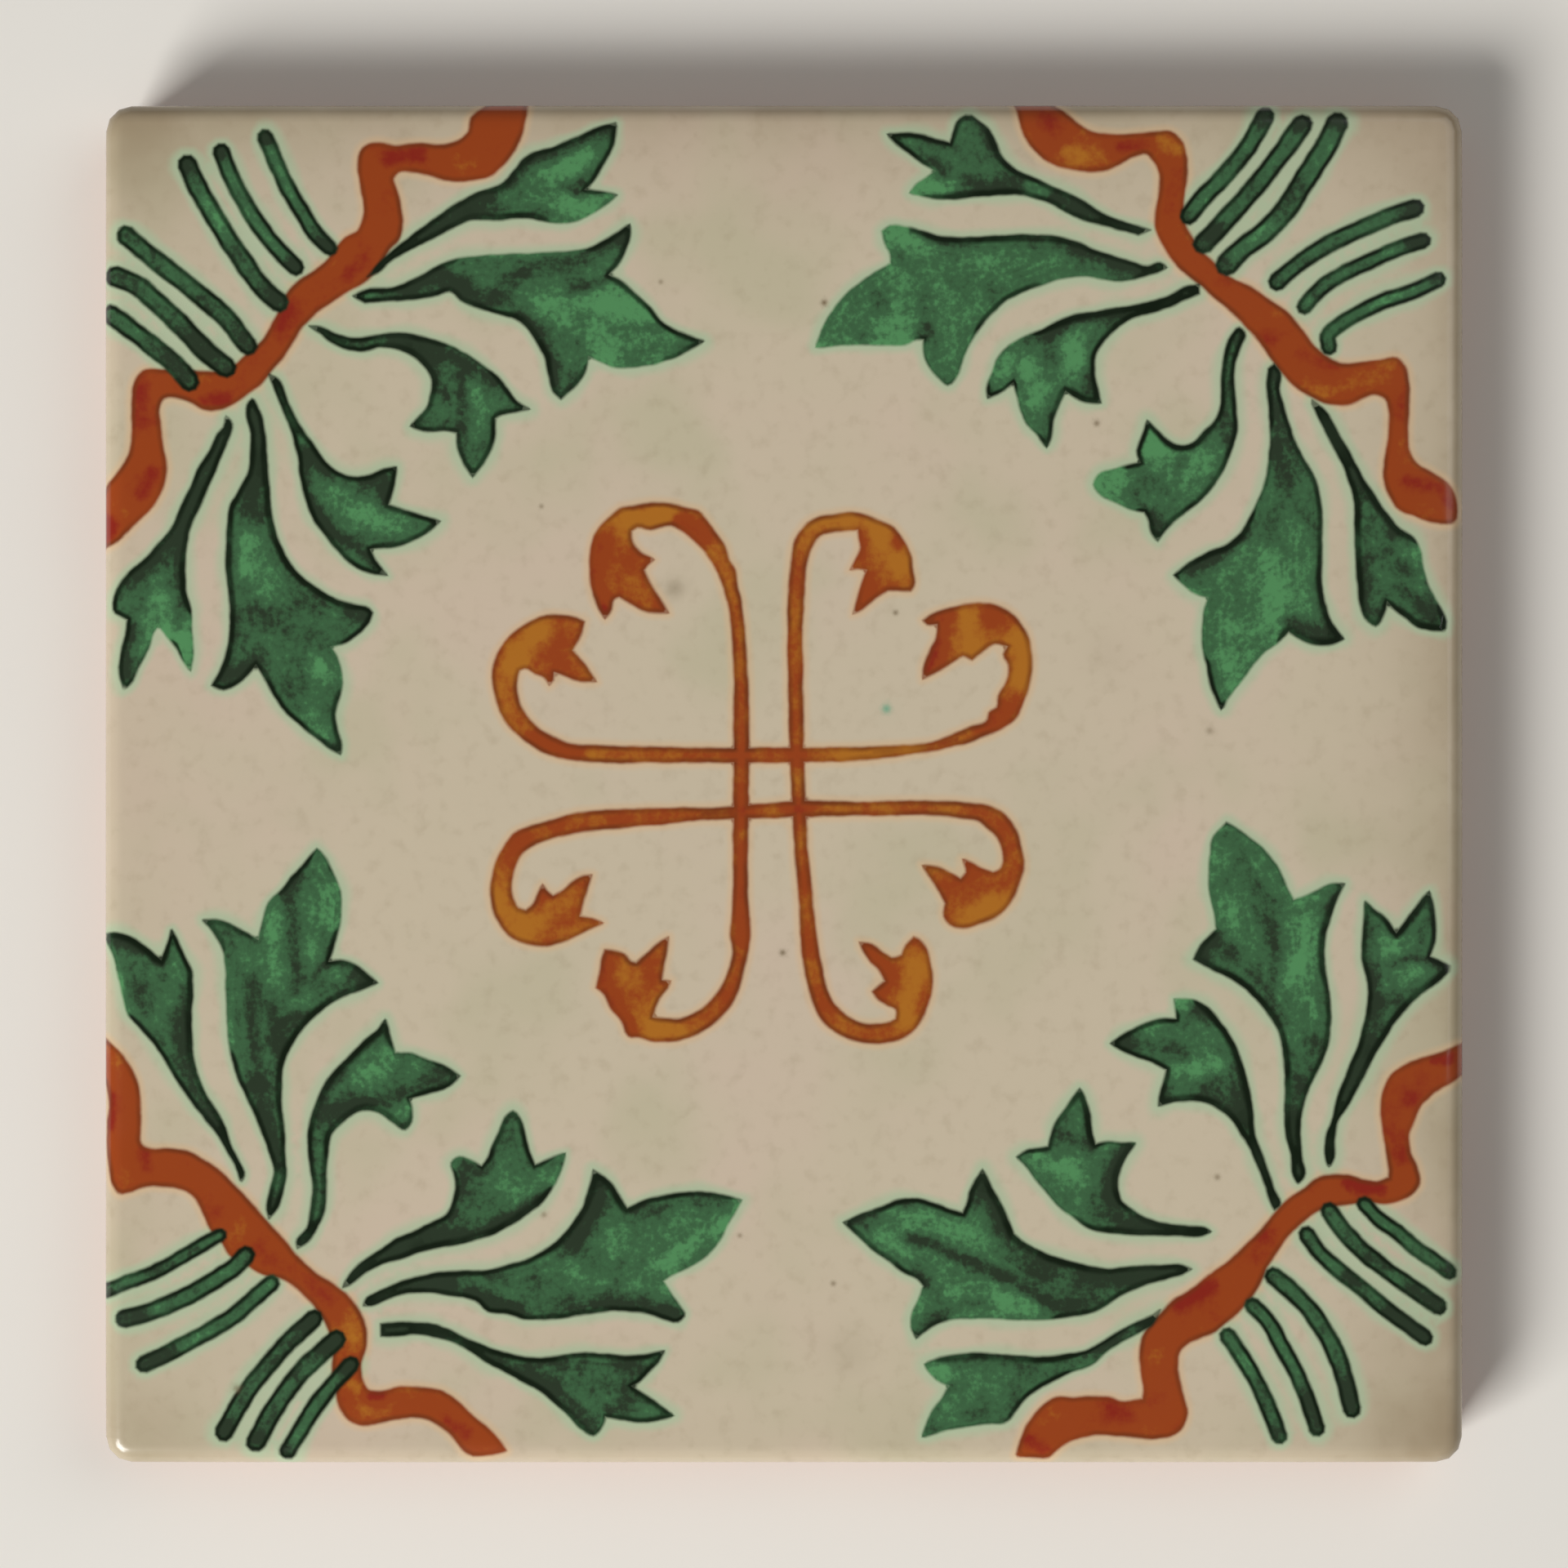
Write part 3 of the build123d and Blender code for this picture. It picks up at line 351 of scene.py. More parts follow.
# Where the green washes are darker or lighter: change of tone, radius, then dabs x,y and strokes x,y>x,y
GREEN_TOUCHES = (
    # Whole sprays
    (-0.12, 9.0, "-44,12>-30,18>-22,33 -42,-14>-30,-24>-16,-42"),
    (0.1, 9.0, "15,40>28,28>40,14"),
    # Upper left
    (-0.6, 0.8, """-31,40.3>-27,42.7>-24,44.4>-22.6,45 -29,38.5>-26.6,39.2>-25,38.4
    -30,34.2>-28,34>-26.8,33 -43,27.5>-44.5,24>-46.5,20 -47,18.5>-49,16.8>-50.4,15.6
    -32.2,23.3>-31.2,23.2>-30.7,22.4 -33.5,13.3>-32.5,13 -43.3,8.3>-42,8.6>-41,9.3"""),
    (-0.55, 1.0, "-41,27>-40.6,25>-41.4,22.6>-41,21"),
    (-0.5, 0.6, """-21,46.5>-19.5,48.2>-17,48.8>-14.5,50>-13.3,50.8 -24.7,38.3>-23.5,37.5>-21.5,37.3
    -21.5,39>-19.5,39.8>-17,40>-15.5,40.5>-12.6,42.4 -19.8,35.9>-19.1,35 -25.5,33>-24,32>-22.5,31
    -28.9,33>-27.3,31 -37.2,25>-36.8,22>-35.5,20 -36.5,25.4>-35.6,24.2 -50,12>-50.4,10.5>-50.8,8.5"""),
    (-0.55, 0.42, """-16.4,38.1>-15,38.4>-13.8,39 -24.2,38.2 -22.3,37.8 -18,32.5>-17.6,31
    -35.3,19.5>-33,18.5>-31.8,17.3 -26.2,30.2>-25.9,29 -24.9,31.5>-24.8,28.5>-24.6,27.5
    -46.6,14>-46.7,12 -15.6,45.9>-17,46"""),
    (-0.32, 0.8, "-42.3,13.2>-40,13.5>-38.5,13.3>-36.5,14 -39.5,12.5>-38,11.8>-36,11.5"),
    (0.25, 2.4, "-12.5,36>-10,34.8"),
    (-0.35, 0.4, "-13,35.1>-10,35.2>-9.6,35 -15.2,33>-16,34 -38.5,8.5>-37.6,6 -37.5,9.5>-36.8,7"),
    (0.45, 1.0, """-17.5,47.2>-15.2,48.2 -17.6,45>-15.2,44.6 -18.8,36.8>-16,37.1>-12,37.2>-11,36.3
    -14.5,34>-13.4,33.2 -33.5,21>-31,20.2>-29.5,20 -41.3,18.5>-41.5,16.8>-39.8,16>-39.8,15
    -48,14>-47.7,12.5>-46.8,11"""),
    (0.35, 0.8, """-17,35.5 -26.3,29>-27,28.3 -23.8,30.5>-23.8,29 -35,22.3 -36,9.3>-35.2,8.5 -36.5,5>-35.5,4
    -46.1,13>-46,9.5 -49,12>-49.8,10.5 -31.8,37.6"""),
    # Upper right
    (-0.2, 2.0, "13,50>14.5,47>18,46.3 38,27>38.5,22 45,20>47,16>49,14"),
    (-0.6, 0.8, """28,42.6>21,45.2 19,34.5>21.3,35.2 31.3,16.7>33,17.2 39.3,12.4>40.5,12>42,11.5
    42,27.5>44,23.5 32,38.2>25.5,36.5"""),
    (-0.45, 0.6, """16.3,50>15.8,48.7 15.8,46.2>18,46.5 14,46.5>15,46 11.5,48>12.3,47.2 26,39.9>27.5,39.7
    22.5,41.2>26,40.3 16,38.3>16,37.5 11,35.2>10.5,34.8 22,35.8>23.5,36 20.3,34>20.7,32.7 23.5,31.3>23.9,30
    27,22.7>28.5,23.3>29.5,22.5 28.6,20.5>28.7,19.5 34,29>34,26.5 38,26>38.5,24>38.8,23 37.6,20>37.5,19
    33.5,17.8>35,18.6>36.2,19.5 47,19.5>46.8,18.3 48,16.3>47.5,17 48,14.8>50,13.3 45,17>45.3,13.5"""),
    (-0.3, 0.5, """11,49.8>12.5,49.3 14.3,41.6 8.8,40.8 10.3,38.2>10.8,36.3 17.9,31.2
    30.5,24.5>30.8,25.6 34.5,15.7 40,21>40.5,20 38,21>36.8,20.5 7,38>7.5,37 13,38.5 18,39.3 23.5,34.2"""),
    (0.4, 0.9, """10.5,46>12.5,45.9 8.3,42.5>10.8,41.6 9,36>7.5,34.7>9,34.5 22.5,34.7>22.3,33
    18.8,32>19,29.5>20,30.5 29,25.5>28.5,26.3 26,23.5>24.8,23.2 37.5,17.3>37.8,15>37.5,13>38,12
    34,9.5>34.5,8"""),
    (0.25, 0.7, "9.3,39.2 17,33>16.5,32 31.8,25>32.5,24.5 48.5,17.5 34.5,12"),
    # Strokes: dark ends, and the ones that are dark all along
    (-0.75, 0.8, """-46.2,47.6 -43.6,48.8 -40,49.8 -39.3,37.3 -37.8,39.9 -35.4,41.5 37,51.4 39.7,50.9
    42.6,51 48.6,44.4 49,41.9 50.4,38.9 33.2,42.7"""),
    (-0.2, 0.9, "-50.8,42.3>-45.2,37.8>-41.3,33.8 -51.7,39.2>-46.3,35.2>-43,32.1 -52,36.3>-45.8,31"),
    (-0.3, 0.6, "39.5,46.5>38,44 44.8,37 47.5,44 35.6,46.8"),
    (0.25, 0.7, """-44.5,45.5>-43.2,42.7 -39.3,48.3>-38,45.5 34.3,47>32,44.6 37,43>35,40.8
    47,37.7>43.5,35.7 40.3,37.2"""),
    # Lower left
    (-0.6, 0.8, """-42,-29.5>-44.5,-25.3>-46.4,-21.5>-46.5,-18 -33.7,-38.4>-31,-36.6>-28,-35.2>-24.5,-34.6
    -32.2,-40>-29.5,-39>-26,-38.4 -14.2,-30.7>-14.2,-32.5>-15.5,-34.5>-16.5,-35.5 -31,-42>-27,-42"""),
    (-0.9, 0.5, "-24,-39.3>-22,-40>-20.5,-40.4 -9.3,-40.5>-8.3,-41"),
    (-0.5, 0.6, """-51.5,-12.2>-49.8,-12.6 -37.8,-7.5>-38,-9.5>-37.7,-12.5>-37.5,-16 -41,-15>-41,-19>-40.5,-23
    -39.5,-17>-39,-20.5 -39,-29.5>-40,-26>-40.3,-23 -35.3,-25.5>-33.5,-24.3>-31,-24.4>-29.3,-23.9
    -24.6,-29.5>-24.7,-31.2 -23.5,-29.8 -16.5,-40>-13,-39.9>-10.5,-40 -21.3,-45>-19,-45.7>-18,-46.5
    -17.5,-47>-15.5,-48.5>-14.8,-49.6 -33,-14.8>-32,-15.2 -38.5,-18.3>-37.5,-18 -24,-43.3>-22,-44.3"""),
    (-0.35, 0.6, """-50,-15.2>-49,-17.5 -22.5,-34>-20,-32.7 -19,-38.2 -22,-38 -12.3,-44.8
    -12.3,-47.5>-12,-48.7 -21,-26>-21.3,-28 -28,-23>-26.5,-22.5 -12,-33.3>-9.5,-33 -25.3,-33.3"""),
    (-0.5, 0.3, "-36.6,-15.2>-35.2,-13.8 -12.4,-36.8 -13.3,-48.4"),
    (0.45, 0.7, """-39.3,-10>-39.5,-12>-39.2,-15 -35.2,-8>-35,-10.5 -33,-22.3>-31,-21.8>-30.5,-20.8
    -9.8,-37.2>-8,-36.2>-6.2,-35>-5,-33.8 -47,-12.5>-46.8,-15 -18.2,-30.2>-18.6,-29.5 -29.3,-25.2"""),
    (0.25, 0.7, """-51.3,-14>-51.2,-16.5 -36.3,-10>-36.5,-13 -34.7,-14.5 -37,-16.5
    -42.6,-18.5>-42.3,-22 -28.5,-21.8 -21.5,-30.5>-20.7,-32 -13,-34.5>-13,-36 -16.3,-37.3>-15.8,-38.3
    -12,-38.3>-9.3,-38.8 -35.7,-28>-35.7,-33 -10.5,-44.3>-9.8,-44 -39.5,-31>-39.3,-29.5"""),
    (-0.15, 2.0, "-18,-46>-12,-46"),
    # Lower right
    (-0.6, 0.8, """42,-29>42.3,-27>43.2,-24>44.5,-21>45.5,-18.5>45.5,-17 32.3,-13.2>33.3,-11.8>34,-12.8
    31,-34.4>28,-34.2>26,-33.6>25.2,-32.5>25,-31>25.3,-29.5 15.3,-30.6>15.8,-32.3>16.8,-34.3 39.5,-30>39.2,-26
    37.7,-32>36,-28 32.5,-23.5>33.5,-23 31,-37.3>28,-37.6>26,-38"""),
    (-0.55, 1.2, "24.5,-38>22,-38.5>19.5,-37.3>18,-36"),
    (-0.45, 0.6, """39.3,-24>40.5,-21.5>40.8,-19.8 35.8,-26>35,-24>34.7,-21.8 33.5,-24.3>35,-25.5
    27,-19.8>29,-20.2>31,-20.8 32,-17.5>33,-18.2 26,-20 21.5,-40>24,-40 17,-37.7>19,-39>20.5,-40
    26.2,-28.8>26.5,-28 22,-27.3>23.3,-27.8 45.5,-14>45.5,-15.5 46,-16.8>47,-16.3 11,-42>12,-41.5
    14.5,-31.5 37,-9>36.5,-8>37.2,-11>38,-12.5"""),
    (-0.4, 0.3, "37.9,-9>37.6,-17"),
    (-0.45, 0.35, "10,-35>13.5,-36.5>17.5,-38.5>21,-40.2"),
    (-0.5, 0.4, """47,-13.7>48.5,-13.4>50.3,-13.6 9.5,-35>11.5,-35.3>13,-36.3>15.3,-37>17.2,-38
    10.8,-38.5 50.3,-13.9>50.8,-14.3"""),
    (-0.3, 0.6, """45.3,-11>45.3,-12.5 49.3,-11>49,-12.5 34.8,-13.3>36,-14 37,-16>36.5,-15
    35.3,-5.7>35.8,-7 34.5,-4 38,-18>38.5,-17 29.2,-24>30,-23.3 23.8,-32.5>24.3,-33.5
    5.7,-33.5>6.3,-33.8 12.5,-32.8 20.5,-45.3>18.5,-45.3 18,-47>17.8,-48 14,-48.6>15.5,-48.4
    11.3,-49.7>11.8,-48.7 13,-46.6 28.7,-41>26,-42.5>24,-43.7>22,-44.6"""),
    (0.4, 0.8, """46.7,-12.2>47,-12.8 48,-14.6>49,-14.5 39.8,-9.5>40.3,-11>40,-13>39.3,-15
    30.3,-22.2>32,-21.8>33.3,-21.5 19.5,-28.9>21.5,-29.5>22.5,-30 8.5,-35.2>7.5,-35>9,-36.3
    17,-40>19,-40.3 11.8,-45>12.5,-45.5 30.8,-16.9"""),
    (0.25, 0.7, """37.3,-7>38,-8 33.8,-9>34.3,-10.5 33.5,-5.5 41,-8.8 33.5,-19.5 28.5,-18.8>27.5,-19.1
    22.8,-32.5 24.7,-28.2 8,-33>12,-33.8>15,-35 14.5,-33.5 13,-39>16,-38.8 10.5,-40.3 15,-46>14.5,-47
    12.8,-47.8 48.3,-11.5 21.5,-38.3"""),
    # Strokes of the lower half
    (-0.7, 0.8, """-52.3,-39.1 -50.8,-41.1>-49.5,-40.9 -49.2,-44.6>-47.5,-43.9 -43.1,-49.8 -40.6,-50.6
    -38.6,-51.3 -33.6,-44.9 -34.7,-43 -36.4,-41.4 51.2,-37.6 50.3,-40.2>48.5,-38.9 49.2,-42.5>47,-41
    43.7,-48>43.5,-47 41,-49.5>40.3,-47.5 38.1,-50.1"""),
    (-0.25, 0.8, """-43,-49.5>-39.7,-44.7>-36.5,-41.5 -40,-49.3>-35.5,-43.6 43.5,-38>46,-40.3
    43.3,-46>42.7,-44 46,-37>44.5,-36 -48,-37.5>-46,-36.4"""),
    (0.25, 0.7, """-44.2,-35.1 -43,-37.6 -42,-40.8>-40,-38.8 -37.8,-50.2 40.5,-35>42.5,-37.2
    36.4,-40.7>38.7,-44.5 -45.5,-42.7 35.5,-44.6 38.5,-38.5"""),
)

# Where the dark line round the green is missing, weak or heavy, written in the same way
LINE_TOUCHES = (
    (-1.0, 0.8, """-24.5,40.5>-16,41.1 -15,33>-13,32.2>-10,32.4 -34.6,10.2>-34,8 -45.6,12.5>-45.7,9.3
    -48.6,12.2>-47.8,11.5 -17.5,43.3>-13.5,44.9 9.9,45.5>11.5,47
    9,43.1>7.7,42.5>8.2,40.2>4,36.8>2.6,33.9>9.5,34 24,39>20.5,38.7 18.5,34.4>16.2,31.5
    24,23.4>25.5,24.3 24.5,22.6>26.5,21.4 31,15.4>32.4,14.6 34.5,6.8>37.5,10.6 48.9,18>50,14.5
    -52.2,-12.8>-51,-17.3 -42.9,-13.5>-43,-20 -34.4,-7.5>-34.3,-10.5 -39.5,-8.9>-40.3,-11.7
    -25.2,-29>-24,-28.9 -17.2,-29>-17.6,-30.5 -3.5,-32.6>-6,-36.3>-9.3,-38.1
    33.4,-3.8>32.8,-6>33.2,-10.6 39.4,-8.9>42,-7.9 30.2,-16.7>31,-16.6 10.5,-39.3>9.9,-41.4
    13.3,-41.2>20,-41.3 11.1,-45>12.5,-46.2 12,-47.6>10.9,-50"""),
    (-0.6, 0.8, """-28.8,-25>-29,-26 -9,-38.7>-8,-40.4 -14.2,-49.2>-14.5,-50 34.8,-3.5>37,-5>38.8,-8
    11.5,-50.1>16.8,-49.2 22,-33.2>20.5,-31.5>18.4,-29.1 24.5,-27.7>26.7,-27.7 22.5,-45.2>27,-42.6
    -30,-20.7>-27.3,-21.2 -35.4,-6>-35.8,-5.2 10.9,33.5>12,31.2>13.3,31.6>14.5,34.4 18,29.9>19.2,27.3
    -25.4,33.7>-23,32.2 -48.9,11>-50,8.6 26.5,39>24,39 37.4,27>36.5,21.5 32.3,13.5>32.4,10.2"""),
    (0.45, 0.9, """-42.9,22>-43,15>-43.3,9.5 -40,25>-39.3,20>-38,17>-34,14 -22,46.2>-20,48.2
    -24,43.5>-19,43.6 -29,33.2>-27.1,31.2 -20.4,35.6>-18.6,33.3 -46,16.5>-45.8,14.3
    16.3,49.5>17.5,47.6 13.5,45.1>17,45.4 12,42.3>22,42 28,37.1>21,35.5 41.5,15.5>42.5,12
    39,11.8>42.3,10.9 44,22>44.2,15 45.5,22.2>48,19.2 50.7,11.9>48,12.8 -48.2,-13.5>-51.8,-11.7
    -45.8,-16>-45.7,-21 -38.7,-24>-38.3,-20.5>-36,-17.6>-32.2,-15.7 -36.8,-26>-31.2,-18.8
    -29.3,-26.3>-32,-25>-35,-27 -18.5,-31.9>-22,-34.4>-28,-36 -14.9,-30.2>-12.4,-32.6
    -15.2,-31.5>-17.5,-35.3 -15.3,-49.8>-22,-45.2>-27,-42.7 47.3,-11.3>49.7,-8.6
    51,-14.6>47.5,-17.8>45.5,-21 42.8,-8.5>41.7,-11.5>41.6,-14 38.5,-20.5>38.7,-28
    37.8,-18.4>35,-15.3>32.3,-13.8 32.5,-17.2>34.2,-19.3>36,-25 29.3,-24.6>32,-24.4>35,-26.5
    25.7,-31>25.8,-29.5>26.8,-28 32,-34.9>25,-34.6 23.4,-24.5>23.9,-27.5
    15.8,-30.4>17.5,-34.7>20,-36.3>24,-37.2 13.3,-44.1>21.5,-44.1 30,26>32,26.7 22,30>24,29.6
    34.9,19.1>32,17.9"""),
)

# Where the rust is redder or more ochre
RUST_TOUCHES = (
    # Ribbons
    (0.14, 6.0, "22,-49>29,-46>32,-40>40,-31>47,-26>50,-22 -49,27>-46,31>-38,35>-33,42>-31,47"),
    (-0.08, 5.0, "25,48>31,46 46,31>48,26 -37,-40>-34,-46"),
    (0.55, 0.7, """-30.5,48.3>-28,48.4 -44.5,29.7>-43,29.6 -33.6,39.4>-32.5,40 -49.4,22.5>-48.8,24
    26,49.1>28,49.4 48,23.5>50.5,22.8>51.4,21.5 -49.1,-29.5>-49.2,-28.6 -33.8,-47.4
    -26,-49>-24.5,-50.2 18.9,-50.5>20,-51.4 48.3,-24.2 33,-38.6>30.5,-40"""),
    (0.9, 0.9, "-53,18.6>-52.3,20"),
    (0.8, 0.5, "-31.8,-47.2>-31,-47.1 -52,-24>-52.1,-26.3 51.3,-21.2>50.3,-21.2 46,-31.2>43.5,-30.8"),
    (0.4, 1.0, """-49.8,30.5>-49.5,28 -38.3,37>-38.8,35.5 20.3,51.4>21.3,50.2 30.3,47>29.8,44.5
    34.3,38.8 37.5,34.5 40,32.8>42,32.4 48,31.5>47.6,28.5 -40.5,-35.8>-36.5,-38.5>-35,-40
    -44.5,-31.5>-43.7,-33 28.5,-47.3 25.5,-48.2>26.5,-48.5 47.3,-27>47.7,-29 37,-35>36.5,-36.4"""),
    (-0.25, 0.9, """-34.2,41>-35.6,39.9 -46,31>-43.5,31.1 -52,22.5>-51,21 -24,48>-25,47.7
    22,48.6>25,48.3 29,49.5>30.3,49 36.5,36.6 41.5,30.3>46,31.6>47,32.2 49,21.2>51,20.8
    -53,-20.3>-51.8,-21.3 -42.5,-35>-41.7,-34.5 -33.4,-40.5>-33.2,-43 -33.2,-46.3>-32.4,-48 39.7,-32.5
    34.5,-39.5 32,-41.8 29,-44>28.6,-46 29,-49.6>27.5,-50 22,-48.4>21,-48.5"""),
    # Scrolled cross
    (0.5, 0.8, """-3.3,2.2 1,2.2 -3.3,-2 1.2,-1.9 16.6,5.6>15.6,4.4 -13.8,13.2>-14.6,16>-14,18.5
    14,-6.5 -18.5,-8 -20.4,-4.3 -14,-13.5>-14,-16>-12.3,-19"""),
    (0.8, 0.7, "11,8.8>11.8,11 -13.9,13"),
    (0.4, 0.7, """-19,3.6>-16,2.4 -8,20.3>-6.5,19.2 12,12.8 6,-12.5>7.6,-14.5>7,-16 5.6,14>6.5,15.5
    5.7,18>6.2,19.3 -3,-12>-3,-5 16,12.8 -9.5,13.5 8.5,18.5"""),
    (-0.4, 0.9, """-21,9.3>-19,11.6 14.3,12.5>14.6,10.5 18.4,11>18.3,8 10,2.8>5,2.4 14,-10.2>17,-9
    10,-14>9.6,-18 -21.8,-9>-20,-11.6 9,17>7,19.7 2.5,20.3>5,20.4 -9,20.8>-12,20.6 -8,-19>-10,-19"""),
)

# Tone of each wash: green from dark to light, rust from ochre to red
LEAF_TONE = 0.56
STROKE_TONE = 0.56
RIBBON_TONE = 0.58
CURL_TONE = 0.32
GREEN_TONE_LIMITS = (-0.3, 1.1)
RUST_TONE_LIMITS = (-0.1, 1.2)

# How heavy the dark line round the green is
LEAF_LINE = 0.78
STROKE_LINE = 0.62
GREEN_LINE_LIMITS = (0.0, 1.4)
STROKE_MARGIN = 0.5       # how far round a stroke its own tone and line hold

# How the paint runs past the drawn outlines or stays inside them
RIBBON_SPREAD = 0.06      # how far the rust runs past the drawn ribbons
CURL_SLIMMING = 0.03      # how far it stays inside the drawn curls
STEM_REACH = 5.5          # length of a leaf's stem, from the point where its outline starts
STEM_SLIMMING = 0.05      # how far the green stays inside the drawn stem
STEM_DARKENING = 0.35     # how much darker its tone is there

# Where the glaze is thinner and darker, with painted shade heaviest on the right and top. Sides: across (0)
# or along (1), which end, share, reach
THIN_GLAZE_AND_SHADE_SIDES = (
    (0, 1, 0.60, 4.2),
    (1, 1, 0.52, 4.5),
    (0, -1, 0.16, 7.0),
    (1, -1, 0.16, 6.0),
)
# Corners: which end across and along, share
THIN_GLAZE_AND_SHADE_CORNERS = (
    (-1, 1, 0.48),
    (1, -1, 0.58),
    (-1, -1, 0.25),
)
THIN_GLAZE_AND_SHADE_CORNER_REACH = 9.0

# Specks fired into the glaze: x, y, radius, strength
BROWN_SPECKS = (
    (-8.4, 15.1, 0.75, 0.45),
    (8.6, 13.2, 0.22, 0.8),
    (3.1, 37.1, 0.25, 1.0),
    (-9.5, 38.7, 0.2, 0.6),
    (3.8, -38.5, 0.22, 0.7),
    (-3.4, -34.8, 0.2, 0.6),
    (-18.7, 21.4, 0.2, 0.6),
    (-0.1, -13, 0.25, 0.9),
    (33.4, -30.3, 0.25, 0.7),
    (32.8, 4.1, 0.3, 0.5),
    (24.1, 27.8, 0.25, 0.8),
    (-42.2, -46.6, 0.3, 0.7),
    (-18.5, -33.2, 0.25, 0.6),
    (4.9, -43.8, 1.9, 0.14),
    (25.0, 10.0, 1.8, 0.08),
)
MINT_SPECKS = ((7.9, 5.8, 0.38, 1.0),)

# Colours as they look on the fired tile, in red, green and blue of 255
GROUND = (198, 184, 159)
GROUND_PINK = (201, 183, 161)
GROUND_GREEN = (190, 180, 152)
# Darker ground for the thinner glaze, its grain and the painted shade near the rim
GROUND_THIN_AND_SHADE = (150, 132, 104)
HALO = (166, 189, 154)
FRINGE = (212, 176, 134)
GREEN_LINE = (4, 20, 0)
GREEN_DARK = (38, 52, 34)
GREEN_MID = (58, 97, 62)
GREEN_LIGHT = (80, 138, 86)
RUST_LINE = (108, 48, 14)
OCHRE = (172, 106, 28)
RUST_MID = (149, 62, 17)
RUST_RED = (134, 32, 16)
SMUDGE = (120, 104, 78)
MINT = (120, 165, 135)
CLAY_PALE = (187, 125, 92)
CLAY_DARK = (168, 102, 72)

# Blotches in the material: width in millimetres, detail and seed of the noise, the noise where they set in
# and where they are full, and what they give there, which is 0 and 1 if it isn't said
PINK_PATCHES = dict(width=16, detail=2, seed=1, low=0.45, high=0.7)
GREEN_PATCHES = dict(width=11, detail=2, seed=2, low=0.48, high=0.72)
GROUND_GRAIN = dict(width=1.3, detail=3, seed=17, low=0.48, high=0.8, start=0.0, end=0.22)
# Patchiness of the thinner glaze and the painted shade near the rim
THIN_GLAZE_AND_SHADE_PATCHES = dict(width=7, detail=3, seed=3, low=0.3, high=0.7, start=0.75, end=1.25)
HALO_WIDTHS = dict(width=3.5, detail=1, seed=5, low=0.3, high=0.7, start=-1.35, end=-0.8)
RUST_LINE_WEIGHTS = dict(width=4, detail=2, seed=14, low=0.3, high=0.65, start=0.25, end=0.85)
GREEN_LINE_WEIGHTS = dict(width=3, detail=2, seed=8, low=0.3, high=0.6, start=0.55, end=1.0)
GREEN_POOLS = dict(width=4, detail=2, seed=19, low=0.35, high=0.65, start=0.05, end=0.5)
CLAY_PATCHES = dict(width=9, detail=4, seed=9, low=0.25, high=0.75)
CLAY_GRIT = dict(width=0.5, detail=2, seed=10, low=0.62, high=0.72, start=0.0, end=0.5)
GLOSS_PATCHES = dict(width=6, detail=3, seed=11, low=0.3, high=0.7, start=0.16, end=0.24)

# Unevenness about 0: the same noise, and how far it goes from end to end
EDGE_WANDER = dict(width=1.4, detail=2, seed=4, swing=0.25)
RUST_DRIFT = dict(width=2.4, detail=1, seed=6, swing=0.9)
RUST_GRAIN = dict(width=0.5, detail=2, seed=16, swing=0.5)
GREEN_MOTTLE = dict(width=1.8, detail=2, seed=18, swing=0.9)
GREEN_GRAIN = dict(width=0.42, detail=2, seed=7, swing=1.1)
BRUSH_STREAKS = dict(width=0.4, length=3.5, seed=15)
BRUSH_STREAKS_SWING = 0.55

# Depths in the paint over which its parts come in, negative outside the outline
FRINGE_BAND = (-0.8, -0.1)
FRINGE_STRENGTH = 0.6
HALO_END = -0.15
HALO_STRENGTH = 0.75
RUST_EDGE = (-0.26, 0.08)
RUST_LINE_BAND = (0.45, 0.08)
GREEN_EDGE = (-0.26, 0.06)
GREEN_POOL_BAND = (1.5, 0.1)
GREEN_LINE_OUTER = 0.2            # depth down to which a line of full weight is full
GREEN_LINE_INNER = (0.55, 0.06)   # depth where it ends: the part that grows with its weight, and the rest
GREEN_LINE_FADING = (0.0, 0.6)    # weights between which a line comes in

# Tones over which one colour gives way to the next
OCHRE_TO_MID = (0.0, 0.5)
MID_TO_RED = (0.7, 1.3)
DARK_TO_MID = (-0.15, 0.52)
MID_TO_LIGHT = (0.5, 1.05)

# Bare clay, gloss and fine relief
GLAZE_BAND = (0.4, 0.6)           # share of glaze between which clay gives way to it
CLAY_ROUGHNESS = 0.85
GLAZE_SKIN = dict(width=2.4, detail=2, seed=12)
GLAZE_SKIN_HEIGHT = 0.25
CLAY_TOOTH = dict(width=0.45, detail=3, seed=13)
TOOTH_ON_CLAY = 1.0
TOOTH_ON_GLAZE = 0.02
RELIEF_STRENGTH = 0.5
RELIEF_HEIGHT = 0.1

# The floor and the plain studio light, in metres
FLOOR_COLOUR = (226, 222, 214)
FLOOR_ROUGHNESS = 0.9
FLOOR_SIZE = 6.0
KEY_DIRECTION = (-0.62, -0.62, 0.62)
FILL_DIRECTION = (0.8, 0.5, 0.9)
LAMP_DISTANCE = 2.0
KEY_SIZE = 0.9
FILL_SIZE = 1.6
KEY_LEVEL = 0.70         # share of the full light that each lamp brings to a level surface
FILL_LEVEL = 0.17
WORLD_COLOUR = (1, 1, 1, 1)
WORLD_LEVEL = 0.15

# The camera, in millimetres but for its reach in metres
LENS = 120.0
SENSOR = 36.0
TILE_SHARE = 0.869       # share of the picture that the tile's width takes
CAMERA_REACH = 10.0


def drawn_points(text):
    """The points of an outline, and for each one whether it is a sharp corner."""
    places = []
    sharp = []
    for word in text.replace("|", " | ").split():
        if word == "|":
            sharp[-1] = True
        else:
            places.append([float(number) for number in word.split(",")])
            sharp.append(False)
    return np.array(places), sharp


